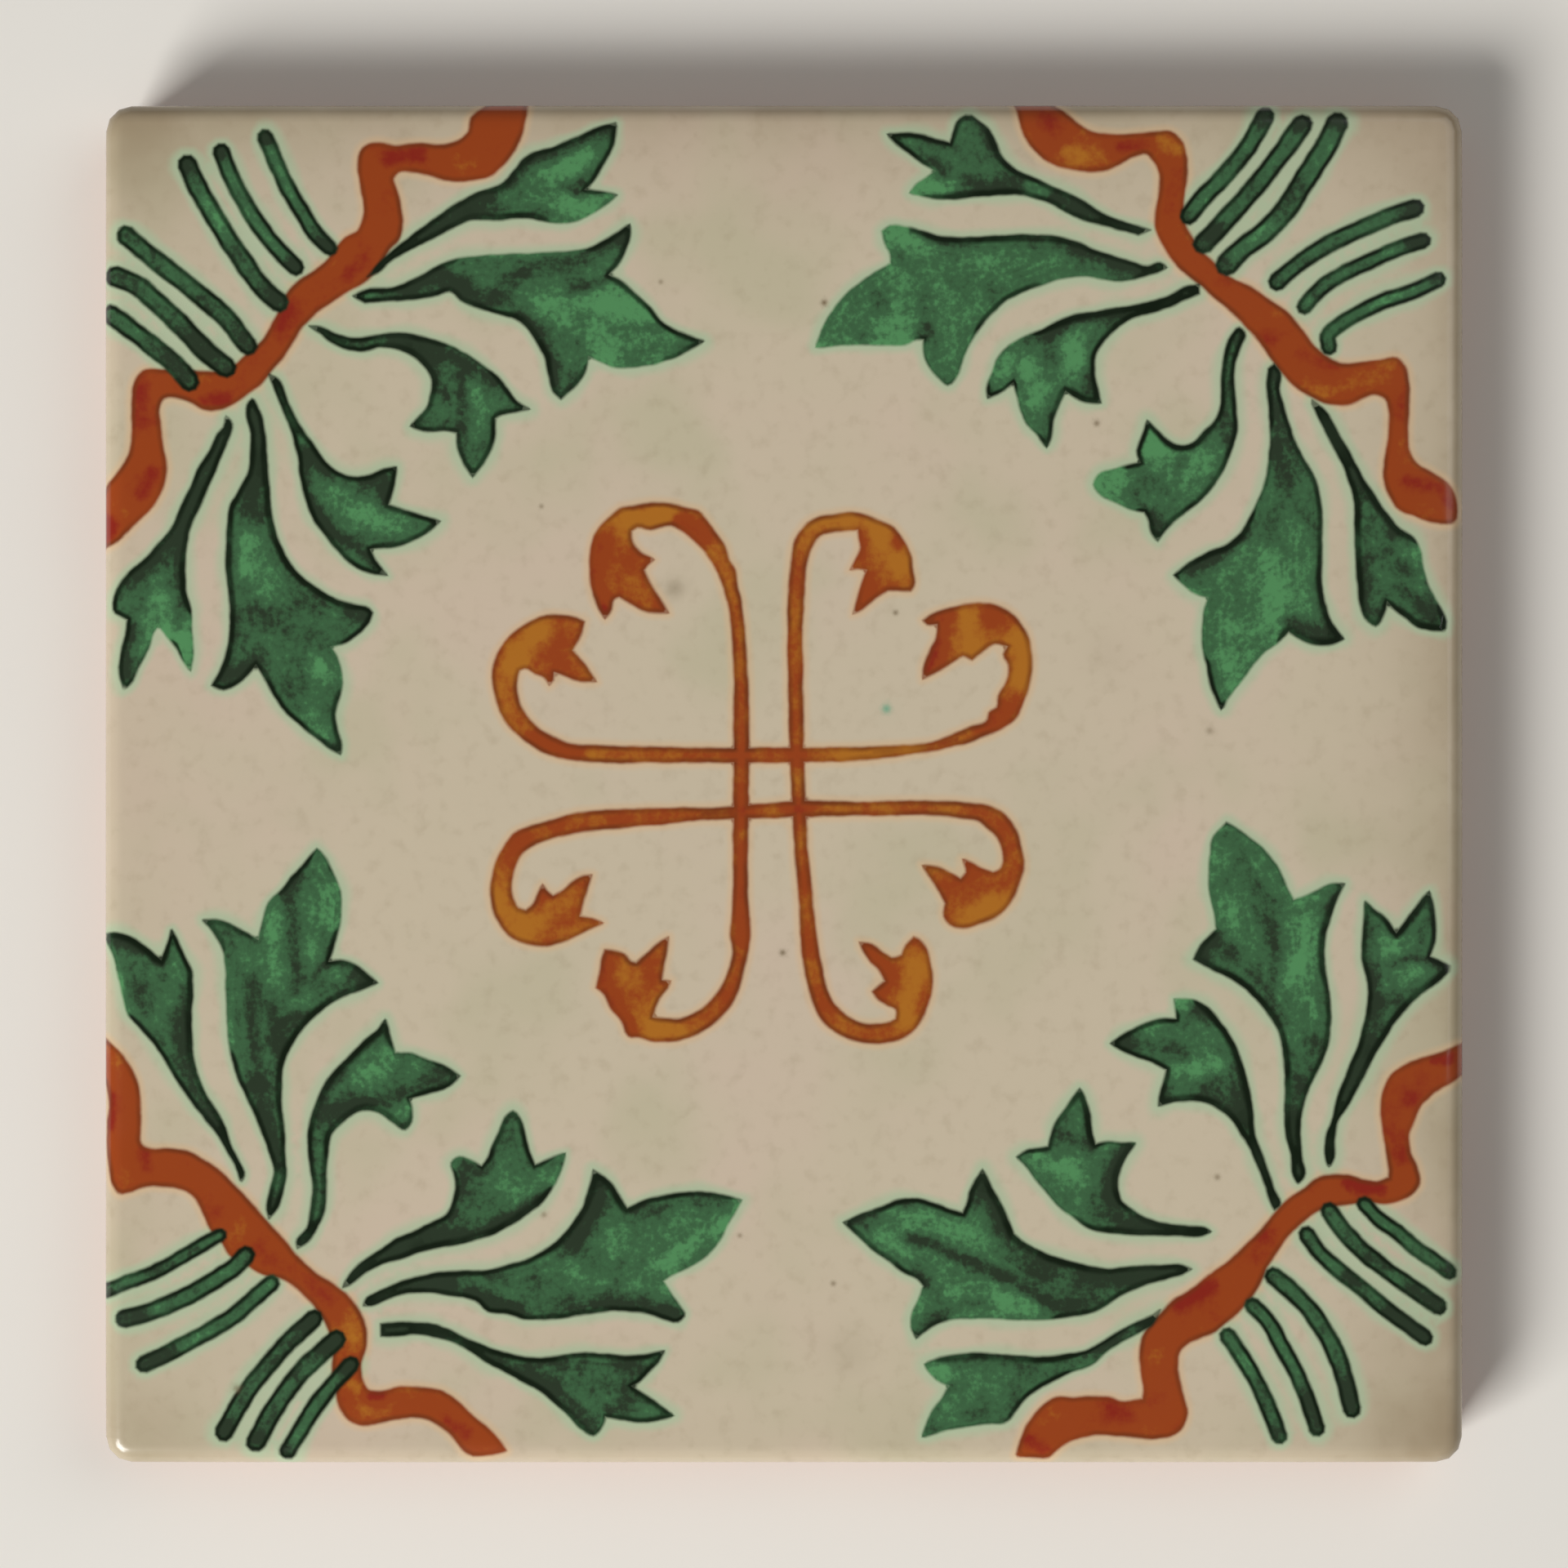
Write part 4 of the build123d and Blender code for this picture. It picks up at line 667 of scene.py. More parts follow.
def heading(before, here, after):
    """Direction of a smooth line at a point, from its two neighbours. A neighbour past a corner is None."""
    if before is None:
        return (after - here) / np.linalg.norm(after - here)
    if after is None:
        return (here - before) / np.linalg.norm(here - before)
    back = np.linalg.norm(here - before)
    ahead = np.linalg.norm(after - here)
    return (ahead * (here - before) / back + back * (after - here) / ahead) / (back + ahead)


def smooth_line(places, sharp, closed):
    """A smooth line through the points in short steps, which turns sharply only at the corners."""
    count = len(places)
    pieces = []
    for i in range(count if closed else count - 1):
        j = (i + 1) % count
        here, there = places[i], places[j]
        length = np.linalg.norm(there - here)
        leave = heading(None if sharp[i] else places[i - 1], here, there) * length
        arrive = heading(here, there, None if sharp[j] else places[(j + 1) % count]) * length
        steps = max(1, ceil(length / LINE_STEP))
        t = np.arange(steps)[:, None] / steps
        pieces.append(
            (2 * t**3 - 3 * t**2 + 1) * here + (t**3 - 2 * t**2 + t) * leave
            + (3 * t**2 - 2 * t**3) * there + (t**3 - t**2) * arrive
        )
    if not closed:
        pieces.append(places[-1:])
    return np.concatenate(pieces)


def closed_outline(text):
    """The closed smooth line of an outline as it is written above."""
    places, sharp = drawn_points(text)
    return smooth_line(places, sharp, closed=True)


def brush_stroke(width, text):
    """The outline of one pull of the brush along a middle line, with round ends."""
    places, sharp = drawn_points(text)
    sharp[0] = sharp[-1] = True
    middle = smooth_line(places, sharp, closed=False)
    along = np.gradient(middle, axis=0)
    along /= np.linalg.norm(along, axis=1)[:, None]
    across = np.stack([-along[:, 1], along[:, 0]], axis=1) * width / 2
    turn = np.linspace(0, pi, CAP_STEPS + 1)[1:-1, None]
    end_cap = middle[-1] + across[-1] * np.cos(turn) + along[-1] * width / 2 * np.sin(turn)
    start_cap = middle[0] - across[0] * np.cos(turn) - along[0] * width / 2 * np.sin(turn)
    return np.concatenate([middle + across, end_cap, (middle - across)[::-1], start_cap])


def depth_in(loop, places):
    """How deep each place lies inside one closed outline. It is negative outside."""
    step = np.roll(loop, -1, axis=0) - loop
    to = places[:, None] - loop[None]
    share = np.clip((to * step).sum(2) / (step**2).sum(1), 0, 1)
    gap = np.sqrt(((to - share[..., None] * step) ** 2).sum(2)).min(1)
    above = to[..., 1] < 0
    crossing = above != np.roll(above, -1, axis=1)
    rise = np.where(step[:, 1] == 0, 1, step[:, 1])
    left = to[..., 0] < to[..., 1] * step[:, 0] / rise
    inside = (crossing & left).sum(1) % 2 == 1
    return np.where(inside, gap, -gap)


def depth(loops, places):
    """How deep each place lies inside the nearest of several outlines, within REACH of them."""
    deepest = np.full(len(places), -REACH)
    for loop in loops:
        near = ((places > loop.min(0) - REACH) & (places < loop.max(0) + REACH)).all(1)
        if near.any():
            deepest[near] = np.maximum(deepest[near], depth_in(loop, places[near]))
    return deepest


def touched(tone, touches, places):
    """The tone of a wash after its darker and lighter touches."""
    tone = tone.copy()
    for change, radius, text in touches:
        for touch in text.split():
            line = [[float(number) for number in place.split(",")] for place in touch.split(">")]
            line = np.array(line)
            gap = np.full(len(places), np.inf)
            for start, end in zip(line, line[1:] if len(line) > 1 else line):
                step = end - start
                share = np.clip((places - start) @ step / max(step @ step, MERGE), 0, 1)
                gap = np.minimum(gap, np.linalg.norm(places - start - share[:, None] * step, axis=1))
            tone += change * np.exp(-((gap / radius) ** 2))
    return tone


def speckled(specks, places):
    """How strongly specks show at each place, from 0 to 1."""
    shown = np.zeros(len(places))
    for x, y, radius, strength in specks:
        gap = np.linalg.norm(places - (x, y), axis=1)
        shown = np.maximum(shown, strength * np.exp(-((gap / radius) ** 2)))
    return shown


def thinned_and_shaded(places, half):
    """How much thinner the glaze is, with painted shade, at each place from 0 to 1. Places are shares of half
    the tile's width.
    """
    kept = np.ones(len(places))
    for axis, end, share, reach in THIN_GLAZE_AND_SHADE_SIDES:
        kept *= 1 - share * np.exp(-half * (1 - end * places[:, axis]) / reach)
    for x, y, share in THIN_GLAZE_AND_SHADE_CORNERS:
        gap = half * np.linalg.norm(places - (x, y), axis=1)
        kept *= 1 - share * np.exp(-((gap / THIN_GLAZE_AND_SHADE_CORNER_REACH) ** 2))
    return 1 - kept


def waves(places, scale, seed):
    """Slow unevenness from 0 to 1, the same on each run."""
    points = [Vector((x / scale, y / scale, z / scale + seed)) for x, y, z in places]
    return np.array([0.5 + 0.5 * noise.noise(point) for point in points])


class Slab:
    """Where the tile's surfaces lie, worked out from the CAD box and the sizes above."""

    def __init__(self, low, high):
        self.half = (high.x - low.x) / METRES / 2
        self.top = high.z / METRES
        self.edge = self.top - CROWN_DROP         # height of the face at the middle of a side
        self.roll_end = self.edge - RIM_RADIUS    # height at which the roll meets the sides
        self.flat_half = self.half - RIM_RADIUS
        self.core = self.half - CORNER_RADIUS

    def face_height(self, places):
        """Height of the smooth face over the back."""
        past = np.maximum(0, np.abs(places) - (self.half - CROWN_WIDTH)) / CROWN_WIDTH
        return self.top - CROWN_DROP * (past**3).sum(1)

    def border(self):
        """The closed line where the face starts to roll over the rim, counter-clockwise."""
        side = np.arange(-self.core, self.core, BORDER_STEP)
        turn = np.linspace(0, pi / 2, CORNER_STEPS + 1)[:-1]
        loop = []
        for quarter in range(4):
            straight = np.stack([np.full(len(side), self.flat_half), side], axis=1)
            corner = self.core + FACE_CORNER * np.stack([np.cos(turn), np.sin(turn)], axis=1)
            part = np.concatenate([straight, corner])
            c, s = cos(quarter * pi / 2), sin(quarter * pi / 2)
            loop.append(part @ np.array([[c, s], [-s, c]]))
        return np.concatenate(loop)

    def foot(self, places):
        """The nearest point to each place of the square between the middles of the round corners."""
        return np.clip(places, -self.core, self.core)

    def outward(self, places):
        """For places on the border, the foot of each and the way out from there."""
        foot = self.foot(places)
        way = places - foot
        return foot, way / np.linalg.norm(way, axis=1)[:, None]


def hexagon_grid(half, step):
    """Evenly spaced places over a square, and the row and column of each."""
    rows = int(half / (step * sin(pi / 3)))
    columns = int(half / step)
    row, column = np.mgrid[-rows : rows + 1, -columns : columns + 1]
    x = (column + 0.5 * (row % 2)) * step
    y = row * step * sin(pi / 3)
    return np.stack([x.ravel(), y.ravel()], axis=1), row.ravel(), column.ravel()


def ring_places(loops, offset):
    """Places beside the outlines at this depth, except where an outline turns back too near to itself."""
    rings = []
    for loop in loops:
        ahead = np.roll(loop, -1, axis=0)
        along = ahead - np.roll(loop, 1, axis=0)
        turn = np.sign((loop[:, 0] * ahead[:, 1] - ahead[:, 0] * loop[:, 1]).sum())
        inward = turn * np.stack([-along[:, 1], along[:, 0]], axis=1)
        rings.append(loop + offset * inward / np.linalg.norm(inward, axis=1)[:, None])
    places = np.concatenate(rings)
    reached = depth(loops, places)
    least = RING_KEPT * offset
    return places[reached > least] if offset > 0 else places[reached < least]


def speck_places():
    """Extra places round each speck, so that the mesh can show it."""
    places = []
    for x, y, radius, _ in BROWN_SPECKS + MINT_SPECKS:
        places.append((x, y))
        for ring in SPECK_RINGS:
            for k in range(SPECK_POINTS):
                angle = (k + ring) * 2 * pi / SPECK_POINTS
                places.append((x + ring * radius * cos(angle), y + ring * radius * sin(angle)))
    return np.array(places)


def triangulated(groups, loops, kept):
    """Triangles over loose places and closed outlines, where kept is true: places and corner indices."""
    places = [Vector(place) for place in np.concatenate(list(loops) + list(groups))]
    edges = []
    start = 0
    for loop in loops:
        count = len(loop)
        edges += [(start + i, start + (i + 1) % count) for i in range(count)]
        start += count
    found, _, triangles, *_ = delaunay_2d_cdt(places, edges, [], 0, MERGE, False)
    found = np.array([tuple(place) for place in found])
    triangles = np.array(triangles)
    middle = found[triangles].mean(1)
    return found, triangles[kept(middle)]


def border_order(triangles):
    """The indices round the outside of a triangulated patch, counter-clockwise."""
    edges = np.concatenate([triangles[:, [0, 1]], triangles[:, [1, 2]], triangles[:, [2, 0]]])
    there = {(a, b) for a, b in edges.tolist()}
    following = {a: b for a, b in there if (b, a) not in there}
    first = min(following)
    order = [first]
    while following[order[-1]] != first:
        order.append(following[order[-1]])
    return np.array(order)


def rim_profile(slab):
    """Rows from the border of the face down to the back.

    Each is how far out it lies, its drop from the face or its height over the back, and which of the two.
    """
    rows = []
    for angle in np.linspace(0, pi / 2 - SIDE_DRAFT, ROLL_ROWS + 1)[1:]:
        rows.append((RIM_RADIUS * sin(angle), RIM_RADIUS * (1 - cos(angle)), "roll"))
    count = ceil((slab.roll_end - BACK_EASING) / ROW_STEP)
    for k in range(1, count + 1):
        height = slab.roll_end + (BACK_EASING - slab.roll_end) * k / count
        rows.append((RIM_RADIUS - (slab.roll_end - height) * tan(SIDE_DRAFT), height, "side"))
    out, height, _ = rows[-1]
    for angle in np.linspace(0, pi / 2, EASING_ROWS + 1)[1:]:
        rows.append((out - BACK_EASING * (1 - cos(angle)), height - BACK_EASING * sin(angle), "side"))
    return rows


def bake_places(slab, face, foot, way, faces, quads, below):
    """Where each corner lies on the map for baking: face and roll unrolled, sides in four strips, back."""
    profile = rim_profile(slab)
    heights = [slab.edge] + [slab.edge - level if kind == "roll" else level for _, level, kind in profile]
    outs = [0] + [out for out, _, _ in profile]
    runs = np.cumsum(np.hypot(np.diff(outs), np.diff(heights)))

    # Face and roll
    spread = np.concatenate([face] + [foot + way * (FACE_CORNER + run) for run in runs[:ROLL_ROWS]])
    scale = MAP_FACE / np.ptp(spread[:, 0])
    spread = (spread - spread.min(0)) * scale
    places = [spread[faces.ravel()]] + [spread[row.ravel()] for row in quads[:ROLL_ROWS]]

    # Sides
    rim = foot + way * CORNER_RADIUS
    steps = np.linalg.norm(np.roll(rim, -1, axis=0) - rim, axis=1)
    start = np.concatenate([[0], np.cumsum(steps)])
    side = start[-1] / 4
    strip = (start[:-1] + start[1:]) / 2 // side
    left = (start[:-1] - strip * side) * scale + MAP_GAP
    right = (start[1:] - strip * side) * scale + MAP_GAP
    base = MAP_FACE + MAP_GAP + strip * ((runs[-1] - runs[ROLL_ROWS - 1]) * scale + MAP_GAP)
    for upper, lower in zip(runs[ROLL_ROWS - 1:], runs[ROLL_ROWS:]):
        high = base + (runs[-1] - upper) * scale
        low = base + (runs[-1] - lower) * scale
        places.append(np.stack([left, high, left, low, right, low, right, high], axis=1).reshape(-1, 2))

    # Back, as it is seen from below
    mirrored = below * (-1, 1)
    room = 1 - MAP_FACE - 2 * MAP_GAP
    mirrored = (mirrored - mirrored.min(0)) / np.ptp(mirrored, axis=0).max() * room
    return np.concatenate(places + [mirrored + (MAP_FACE + MAP_GAP, 0)])


def face_patch(slab, outlines):
    """The face up to the line where it rolls over the rim: its places and its triangles' corners."""
    free, row, column = hexagon_grid(slab.flat_half - OUTER_CLEARANCE, FINE_STEP)
    painted = depth(outlines, free)
    coarse = (row % COARSE_SHARE == 0) & (column % COARSE_SHARE == 0)
    beside = (painted < -OUTER_CLEARANCE) & ((painted > -FINE_MARGIN) | coarse)
    free = free[(painted > INNER_CLEARANCE) | beside]
    rings = np.concatenate([ring_places(outlines, offset) for offset in RINGS])
    rings = rings[np.abs(rings).max(1) < slab.flat_half - RING_INSET]
    off_border = [loop[np.abs(np.abs(loop).max(1) - slab.flat_half) > RING_INSET] for loop in outlines]

    def on_face(places):
        return np.linalg.norm(places - slab.foot(places), axis=1) < FACE_CORNER

    face, faces = triangulated([free, rings, speck_places()], [slab.border()] + off_border, on_face)
    used, faces = np.unique(faces, return_inverse=True)
    return face[used], faces.reshape(-1, 3)


def side_rows(slab, face, rim, foot, way):
    """Rows of places from the rim down to the back, their heights and the faces between them."""
    edge_height = slab.face_height(face[rim])
    count = len(rim)
    rows = []
    heights = []
    quads = []
    above = rim
    for out, level, kind in rim_profile(slab):
        below = len(face) + len(rows) * count + np.arange(count)
        rows.append(foot + way * (FACE_CORNER + out))
        heights.append(edge_height - level if kind == "roll" else np.full(count, level))
        quads.append(np.stack([above, below, np.roll(below, -1), np.roll(above, -1)], axis=1))
        above = below
    return rows, heights, quads


def back_patch(slab, last_row, first):
    """The back inside the last row, whose first place has this index: new places and corners."""
    inner, _, _ = hexagon_grid(slab.half - CORNER_RADIUS, BACK_STEP)

    def on_back(places):
        return (np.abs(places) < slab.half).all(1)

    back, backs = triangulated([inner], [last_row], on_back)
    return back[len(last_row):], (backs + first)[:, ::-1]


class Surface:
    """The tile's surface before its unevenness: its points, the part each lies on, faces and map."""

    def __init__(self, slab, outlines):
        face, faces = face_patch(slab, outlines)
        rim = border_order(faces)
        foot, way = slab.outward(face[rim])
        rows, heights, quads = side_rows(slab, face, rim, foot, way)
        back, backs = back_patch(slab, rows[-1], len(face) + (len(rows) - 1) * len(rim))
        self.xy = np.concatenate([face, *rows, back])
        self.z = np.concatenate([slab.face_height(face), *heights, np.zeros(len(back))])
        self.place = np.column_stack([self.xy, self.z])
        self.outward = np.concatenate([np.zeros_like(face), *[way] * len(rows), np.zeros_like(back)])
        self.on_top = np.arange(len(self.xy)) < len(face)
        self.on_side = np.abs(self.outward).sum(1) > 0
        self.below_roll = np.where(self.on_side, np.maximum(0, slab.roll_end - self.z), 0)
        sides = np.concatenate(quads)
        self.corners = np.concatenate([faces.ravel(), sides.ravel(), backs.ravel()])
        self.sizes = np.repeat([3, 4, 3], [len(faces), len(sides), len(backs)])
        self.map = bake_places(slab, face, foot, way, faces, quads, self.xy[backs.ravel()])


def painted_values(slab, surface, leaves, strokes, ribbons, curls):
    """What the material reads at each point: depths in the paint, tones, lines, specks and glaze."""
    xy = surface.xy
    shown = surface.on_top | surface.on_side
    leaf_depth = depth(leaves, xy)
    stroke_depth = depth(strokes, xy)
    ribbon_depth = depth(ribbons, xy)
    curl_depth = depth(curls, xy)
    stem = np.zeros(len(xy))
    for text in LEAVES:
        gap = np.linalg.norm(xy - drawn_points(text)[0][0], axis=1)
        stem = np.maximum(stem, np.exp(-((gap / STEM_REACH) ** 2)))
    green_depth = np.where(shown, np.maximum(leaf_depth - STEM_SLIMMING * stem, stroke_depth), -REACH)
    rust_depth = np.maximum(ribbon_depth + RIBBON_SPREAD, curl_depth - CURL_SLIMMING)
    rust_depth = np.where(shown, rust_depth, -REACH)
    sag = PAINT_SAG * surface.below_roll

    on_stroke = (stroke_depth > -STROKE_MARGIN) & (stroke_depth >= leaf_depth)
    green_tone = np.where(on_stroke, STROKE_TONE, LEAF_TONE) - STEM_DARKENING * stem
    green_line = np.where(on_stroke, STROKE_LINE, LEAF_LINE)
    rust_tone = np.where(ribbon_depth > curl_depth, RIBBON_TONE, CURL_TONE)

    level = surface.place * (1, 1, 0)
    lap = GLAZE_LAP + GLAZE_LAP_WAVE * (waves(level, *LAP_WAVES) - 0.5) * 2
    lap += GLAZE_LAP_RIPPLE * (waves(level, *LAP_RIPPLES) - 0.5)
    glaze = np.clip((lap - (slab.edge - surface.z)) / GLAZE_EDGE + 0.5, 0, 1)
    return {
        "green_depth": np.maximum(green_depth - sag, -REACH),
        "green_tone": np.clip(touched(green_tone, GREEN_TOUCHES, xy), *GREEN_TONE_LIMITS),
        "green_line": np.clip(touched(green_line, LINE_TOUCHES, xy), *GREEN_LINE_LIMITS),
        "rust_depth": np.maximum(rust_depth - sag, -REACH),
        "rust_tone": np.clip(touched(rust_tone, RUST_TOUCHES, xy), *RUST_TONE_LIMITS),
        "brown_speck": np.where(surface.on_top, speckled(BROWN_SPECKS, xy), 0),
        "mint_speck": np.where(surface.on_top, speckled(MINT_SPECKS, xy), 0),
        # Thinner glaze and painted shade near the rim
        "thin_and_shade": thinned_and_shaded(xy / slab.half, slab.half),
        "glaze": np.where(surface.on_top, 1.0, np.where(surface.on_side, glaze, 0.0)),
    }


def uneven(slab, surface, values):
    """The points after the dips, the relief of the paint and the step from glaze to bare clay."""
    top, side, place = surface.on_top, surface.on_side, surface.place
    painted = np.clip(np.maximum(values["green_depth"], values["rust_depth"]) / RELIEF_EDGE + 0.5, 0, 1)
    z = np.where(top, surface.z - FACE_WAVE * waves(place, *FACE_DIPS), surface.z)
    z = np.where(top, z - PAINT_RELIEF * (1 - painted), z)
    roll = side & (z > slab.roll_end)
    level = place * (1, 1, 0) + (0, 0, slab.top)
    z = np.where(roll, z - (FACE_WAVE * waves(level, *FACE_DIPS) + PAINT_RELIEF), z)
    z = np.where(top | side, z, BACK_WAVE * waves(place, *BACK_DIPS))
    inset = SIDE_WAVE * waves(place, *SIDE_DIPS) + GLAZE_THICKNESS * (1 - values["glaze"])
    inset = np.where(side, inset * np.clip(surface.below_roll / SIDE_FADE, 0, 1), 0)
    return np.column_stack([surface.xy - surface.outward * inset[:, None], z])


def make_tile(slab):
    """The glazed tile as one closed mesh, with the painted pattern in its named values."""
    leaves = [closed_outline(text) for text in LEAVES]
    strokes = [brush_stroke(*stroke) for stroke in STROKES]
    ribbons = [closed_outline(text) for text in RIBBONS]
    curls = [closed_outline(text) for text in CURLS]
    surface = Surface(slab, leaves + strokes + ribbons + curls)
    values = painted_values(slab, surface, leaves, strokes, ribbons, curls)
    points = uneven(slab, surface, values) * METRES

    mesh = bpy.data.meshes.new("glazed_tile")
    mesh.vertices.add(len(points))
    mesh.vertices.foreach_set("co", points.ravel())
    mesh.loops.add(len(surface.corners))
    mesh.loops.foreach_set("vertex_index", surface.corners)
    mesh.polygons.add(len(surface.sizes))
    mesh.polygons.foreach_set("loop_start", np.cumsum(surface.sizes) - surface.sizes)
    mesh.polygons.foreach_set("loop_total", surface.sizes)
    mesh.update(calc_edges=True)
    mesh.uv_layers.new(name="OFBake").data.foreach_set("uv", surface.map.ravel())
    mesh.validate()
    mesh.shade_smooth()
    for name, value in values.items():
        layer = mesh.attributes.new(name, "FLOAT", "POINT")
        layer.data.foreach_set("value", value.astype(np.float32))
    tile = bpy.data.objects.new("glazed_tile", mesh)
    bpy.context.scene.collection.objects.link(tile)
    return tile


def linear(colour):
    """A colour of 255 as the shader's linear values."""
    shares = [value / 255 for value in colour]
    return (*[s / 12.92 if s <= 0.04045 else ((s + 0.055) / 1.055) ** 2.4 for s in shares], 1)


class Recipe:
    """A short way to write a material's nodes."""

    def __init__(self, name):
        self.material = bpy.data.materials.new(name)
        self.material.use_nodes = True
        self.nodes = self.material.node_tree.nodes
        self.links = self.material.node_tree.links
        self.shader = self.nodes["Principled BSDF"]
        self.place = self.nodes.new("ShaderNodeTexCoord").outputs["Object"]

    def put(self, socket, value):
        """Links a socket to this one, or sets it to this value."""
        if isinstance(value, bpy.types.NodeSocket):
            self.links.new(value, socket)
        else:
            socket.default_value = value

    def value(self, name):
        """One of the mesh's named values."""
        node = self.nodes.new("ShaderNodeAttribute")
        node.attribute_name = name
        return node.outputs["Fac"]

    def math(self, operation, *values):
        node = self.nodes.new("ShaderNodeMath")
        node.operation = operation
        for socket, value in zip(node.inputs, values):
            self.put(socket, value)
        return node.outputs[0]

    def clouds(self, width, detail, seed):
        """Noise from about 0 to 1 whose blotches are about this many millimetres across."""
        node = self.nodes.new("ShaderNodeTexNoise")
        node.noise_dimensions = "4D"
        self.links.new(self.place, node.inputs["Vector"])
        self.put(node.inputs["W"], seed)
        self.put(node.inputs["Scale"], 1 / (width * METRES))
        self.put(node.inputs["Detail"], detail)
        return node.outputs["Fac"]

    def patches(self, width, detail, seed, low, high, start=0.0, end=1.0):
        """Noise that gives start where it is low, end where it is high, and a soft change between."""
        return self.rise(self.clouds(width, detail, seed), low, high, start, end)

    def ripple(self, width, detail, seed, swing):
        """Noise about 0 that goes this far from end to end."""
        return self.swung(self.clouds(width, detail, seed), swing)

    def swung(self, share, swing):
        """A share from 0 to 1 as an unevenness about 0."""
        return self.math("MULTIPLY", self.math("SUBTRACT", share, 0.5), swing)

    def streaks(self, across, width, length, seed):
        """Noise drawn out along the lines on which a value stays the same, as a brush leaves it."""
        shift = self.math("MULTIPLY_ADD", across, length * METRES / width, seed)
        return self.clouds(length, 1.0, shift)

    def rise(self, value, low, high, start=0.0, end=1.0):
        """From start to end, smoothly, as the value goes from low to high."""
        node = self.nodes.new("ShaderNodeMapRange")
        node.interpolation_type = "SMOOTHSTEP"
        names = ("Value", "From Min", "From Max", "To Min", "To Max")
        for name, given in zip(names, (value, low, high, start, end)):
            self.put(node.inputs[name], given)
        return node.outputs["Result"]

    def mix(self, share, below, above):
        """One colour over another, which shows by this share."""
        node = self.nodes.new("ShaderNodeMix")
        node.data_type = "RGBA"
        self.put(node.inputs["Factor"], share)
        for socket, colour in ((node.inputs[6], below), (node.inputs[7], above)):
            self.put(socket, linear(colour) if isinstance(colour, tuple) else colour)
        return node.outputs[2]


def open_ground(r):
    """The cream glaze where nothing is painted, darker near the rim from thinner glaze and painted shade."""
    ground = r.mix(r.patches(**PINK_PATCHES), GROUND, GROUND_PINK)
    ground = r.mix(r.patches(**GREEN_PATCHES), ground, GROUND_GREEN)
    ground = r.mix(r.patches(**GROUND_GRAIN), ground, GROUND_THIN_AND_SHADE)
    # Thinner glaze near the rim, with painted shade heaviest on the right and top sides
    thin_and_shade = r.math("MULTIPLY", r.value("thin_and_shade"), r.patches(**THIN_GLAZE_AND_SHADE_PATCHES))
    return r.mix(thin_and_shade, ground, GROUND_THIN_AND_SHADE)


def rust_wash(r, rust):
    """The paint of the ribbons and curls, for a depth inside them."""
    unevenness = r.math("ADD", r.ripple(**RUST_DRIFT), r.ripple(**RUST_GRAIN))
    tone = r.math("ADD", r.value("rust_tone"), unevenness)
    wash = r.mix(r.rise(tone, *OCHRE_TO_MID), OCHRE, RUST_MID)
    wash = r.mix(r.rise(tone, *MID_TO_RED), wash, RUST_RED)
    line = r.rise(rust, *RUST_LINE_BAND, 0.0, r.patches(**RUST_LINE_WEIGHTS))
    return r.mix(line, wash, RUST_LINE)


def green_wash(r, green):
    """The paint of the leaves and strokes, for a depth inside them, darker where it pooled at its line."""
    streaks = r.swung(r.streaks(r.value("green_depth"), **BRUSH_STREAKS), BRUSH_STREAKS_SWING)
    unevenness = r.math("ADD", r.ripple(**GREEN_MOTTLE), r.ripple(**GREEN_GRAIN))
    tone = r.math("ADD", r.value("green_tone"), r.math("ADD", streaks, unevenness))
    weight = r.value("green_line")
    pool = r.rise(green, *GREEN_POOL_BAND, 0.0, r.patches(**GREEN_POOLS))
    tone = r.math("SUBTRACT", tone, r.math("MULTIPLY", weight, pool))
    wash = r.mix(r.rise(tone, *DARK_TO_MID), GREEN_DARK, GREEN_MID)
    wash = r.mix(r.rise(tone, *MID_TO_LIGHT), wash, GREEN_LIGHT)
    outer = r.math("MULTIPLY", weight, GREEN_LINE_OUTER)
    inner = r.math("MULTIPLY_ADD", weight, *GREEN_LINE_INNER)
    share = r.math("MULTIPLY", r.rise(weight, *GREEN_LINE_FADING), r.patches(**GREEN_LINE_WEIGHTS))
    return r.mix(r.math("MULTIPLY", r.rise(green, inner, outer), share), wash, GREEN_LINE)


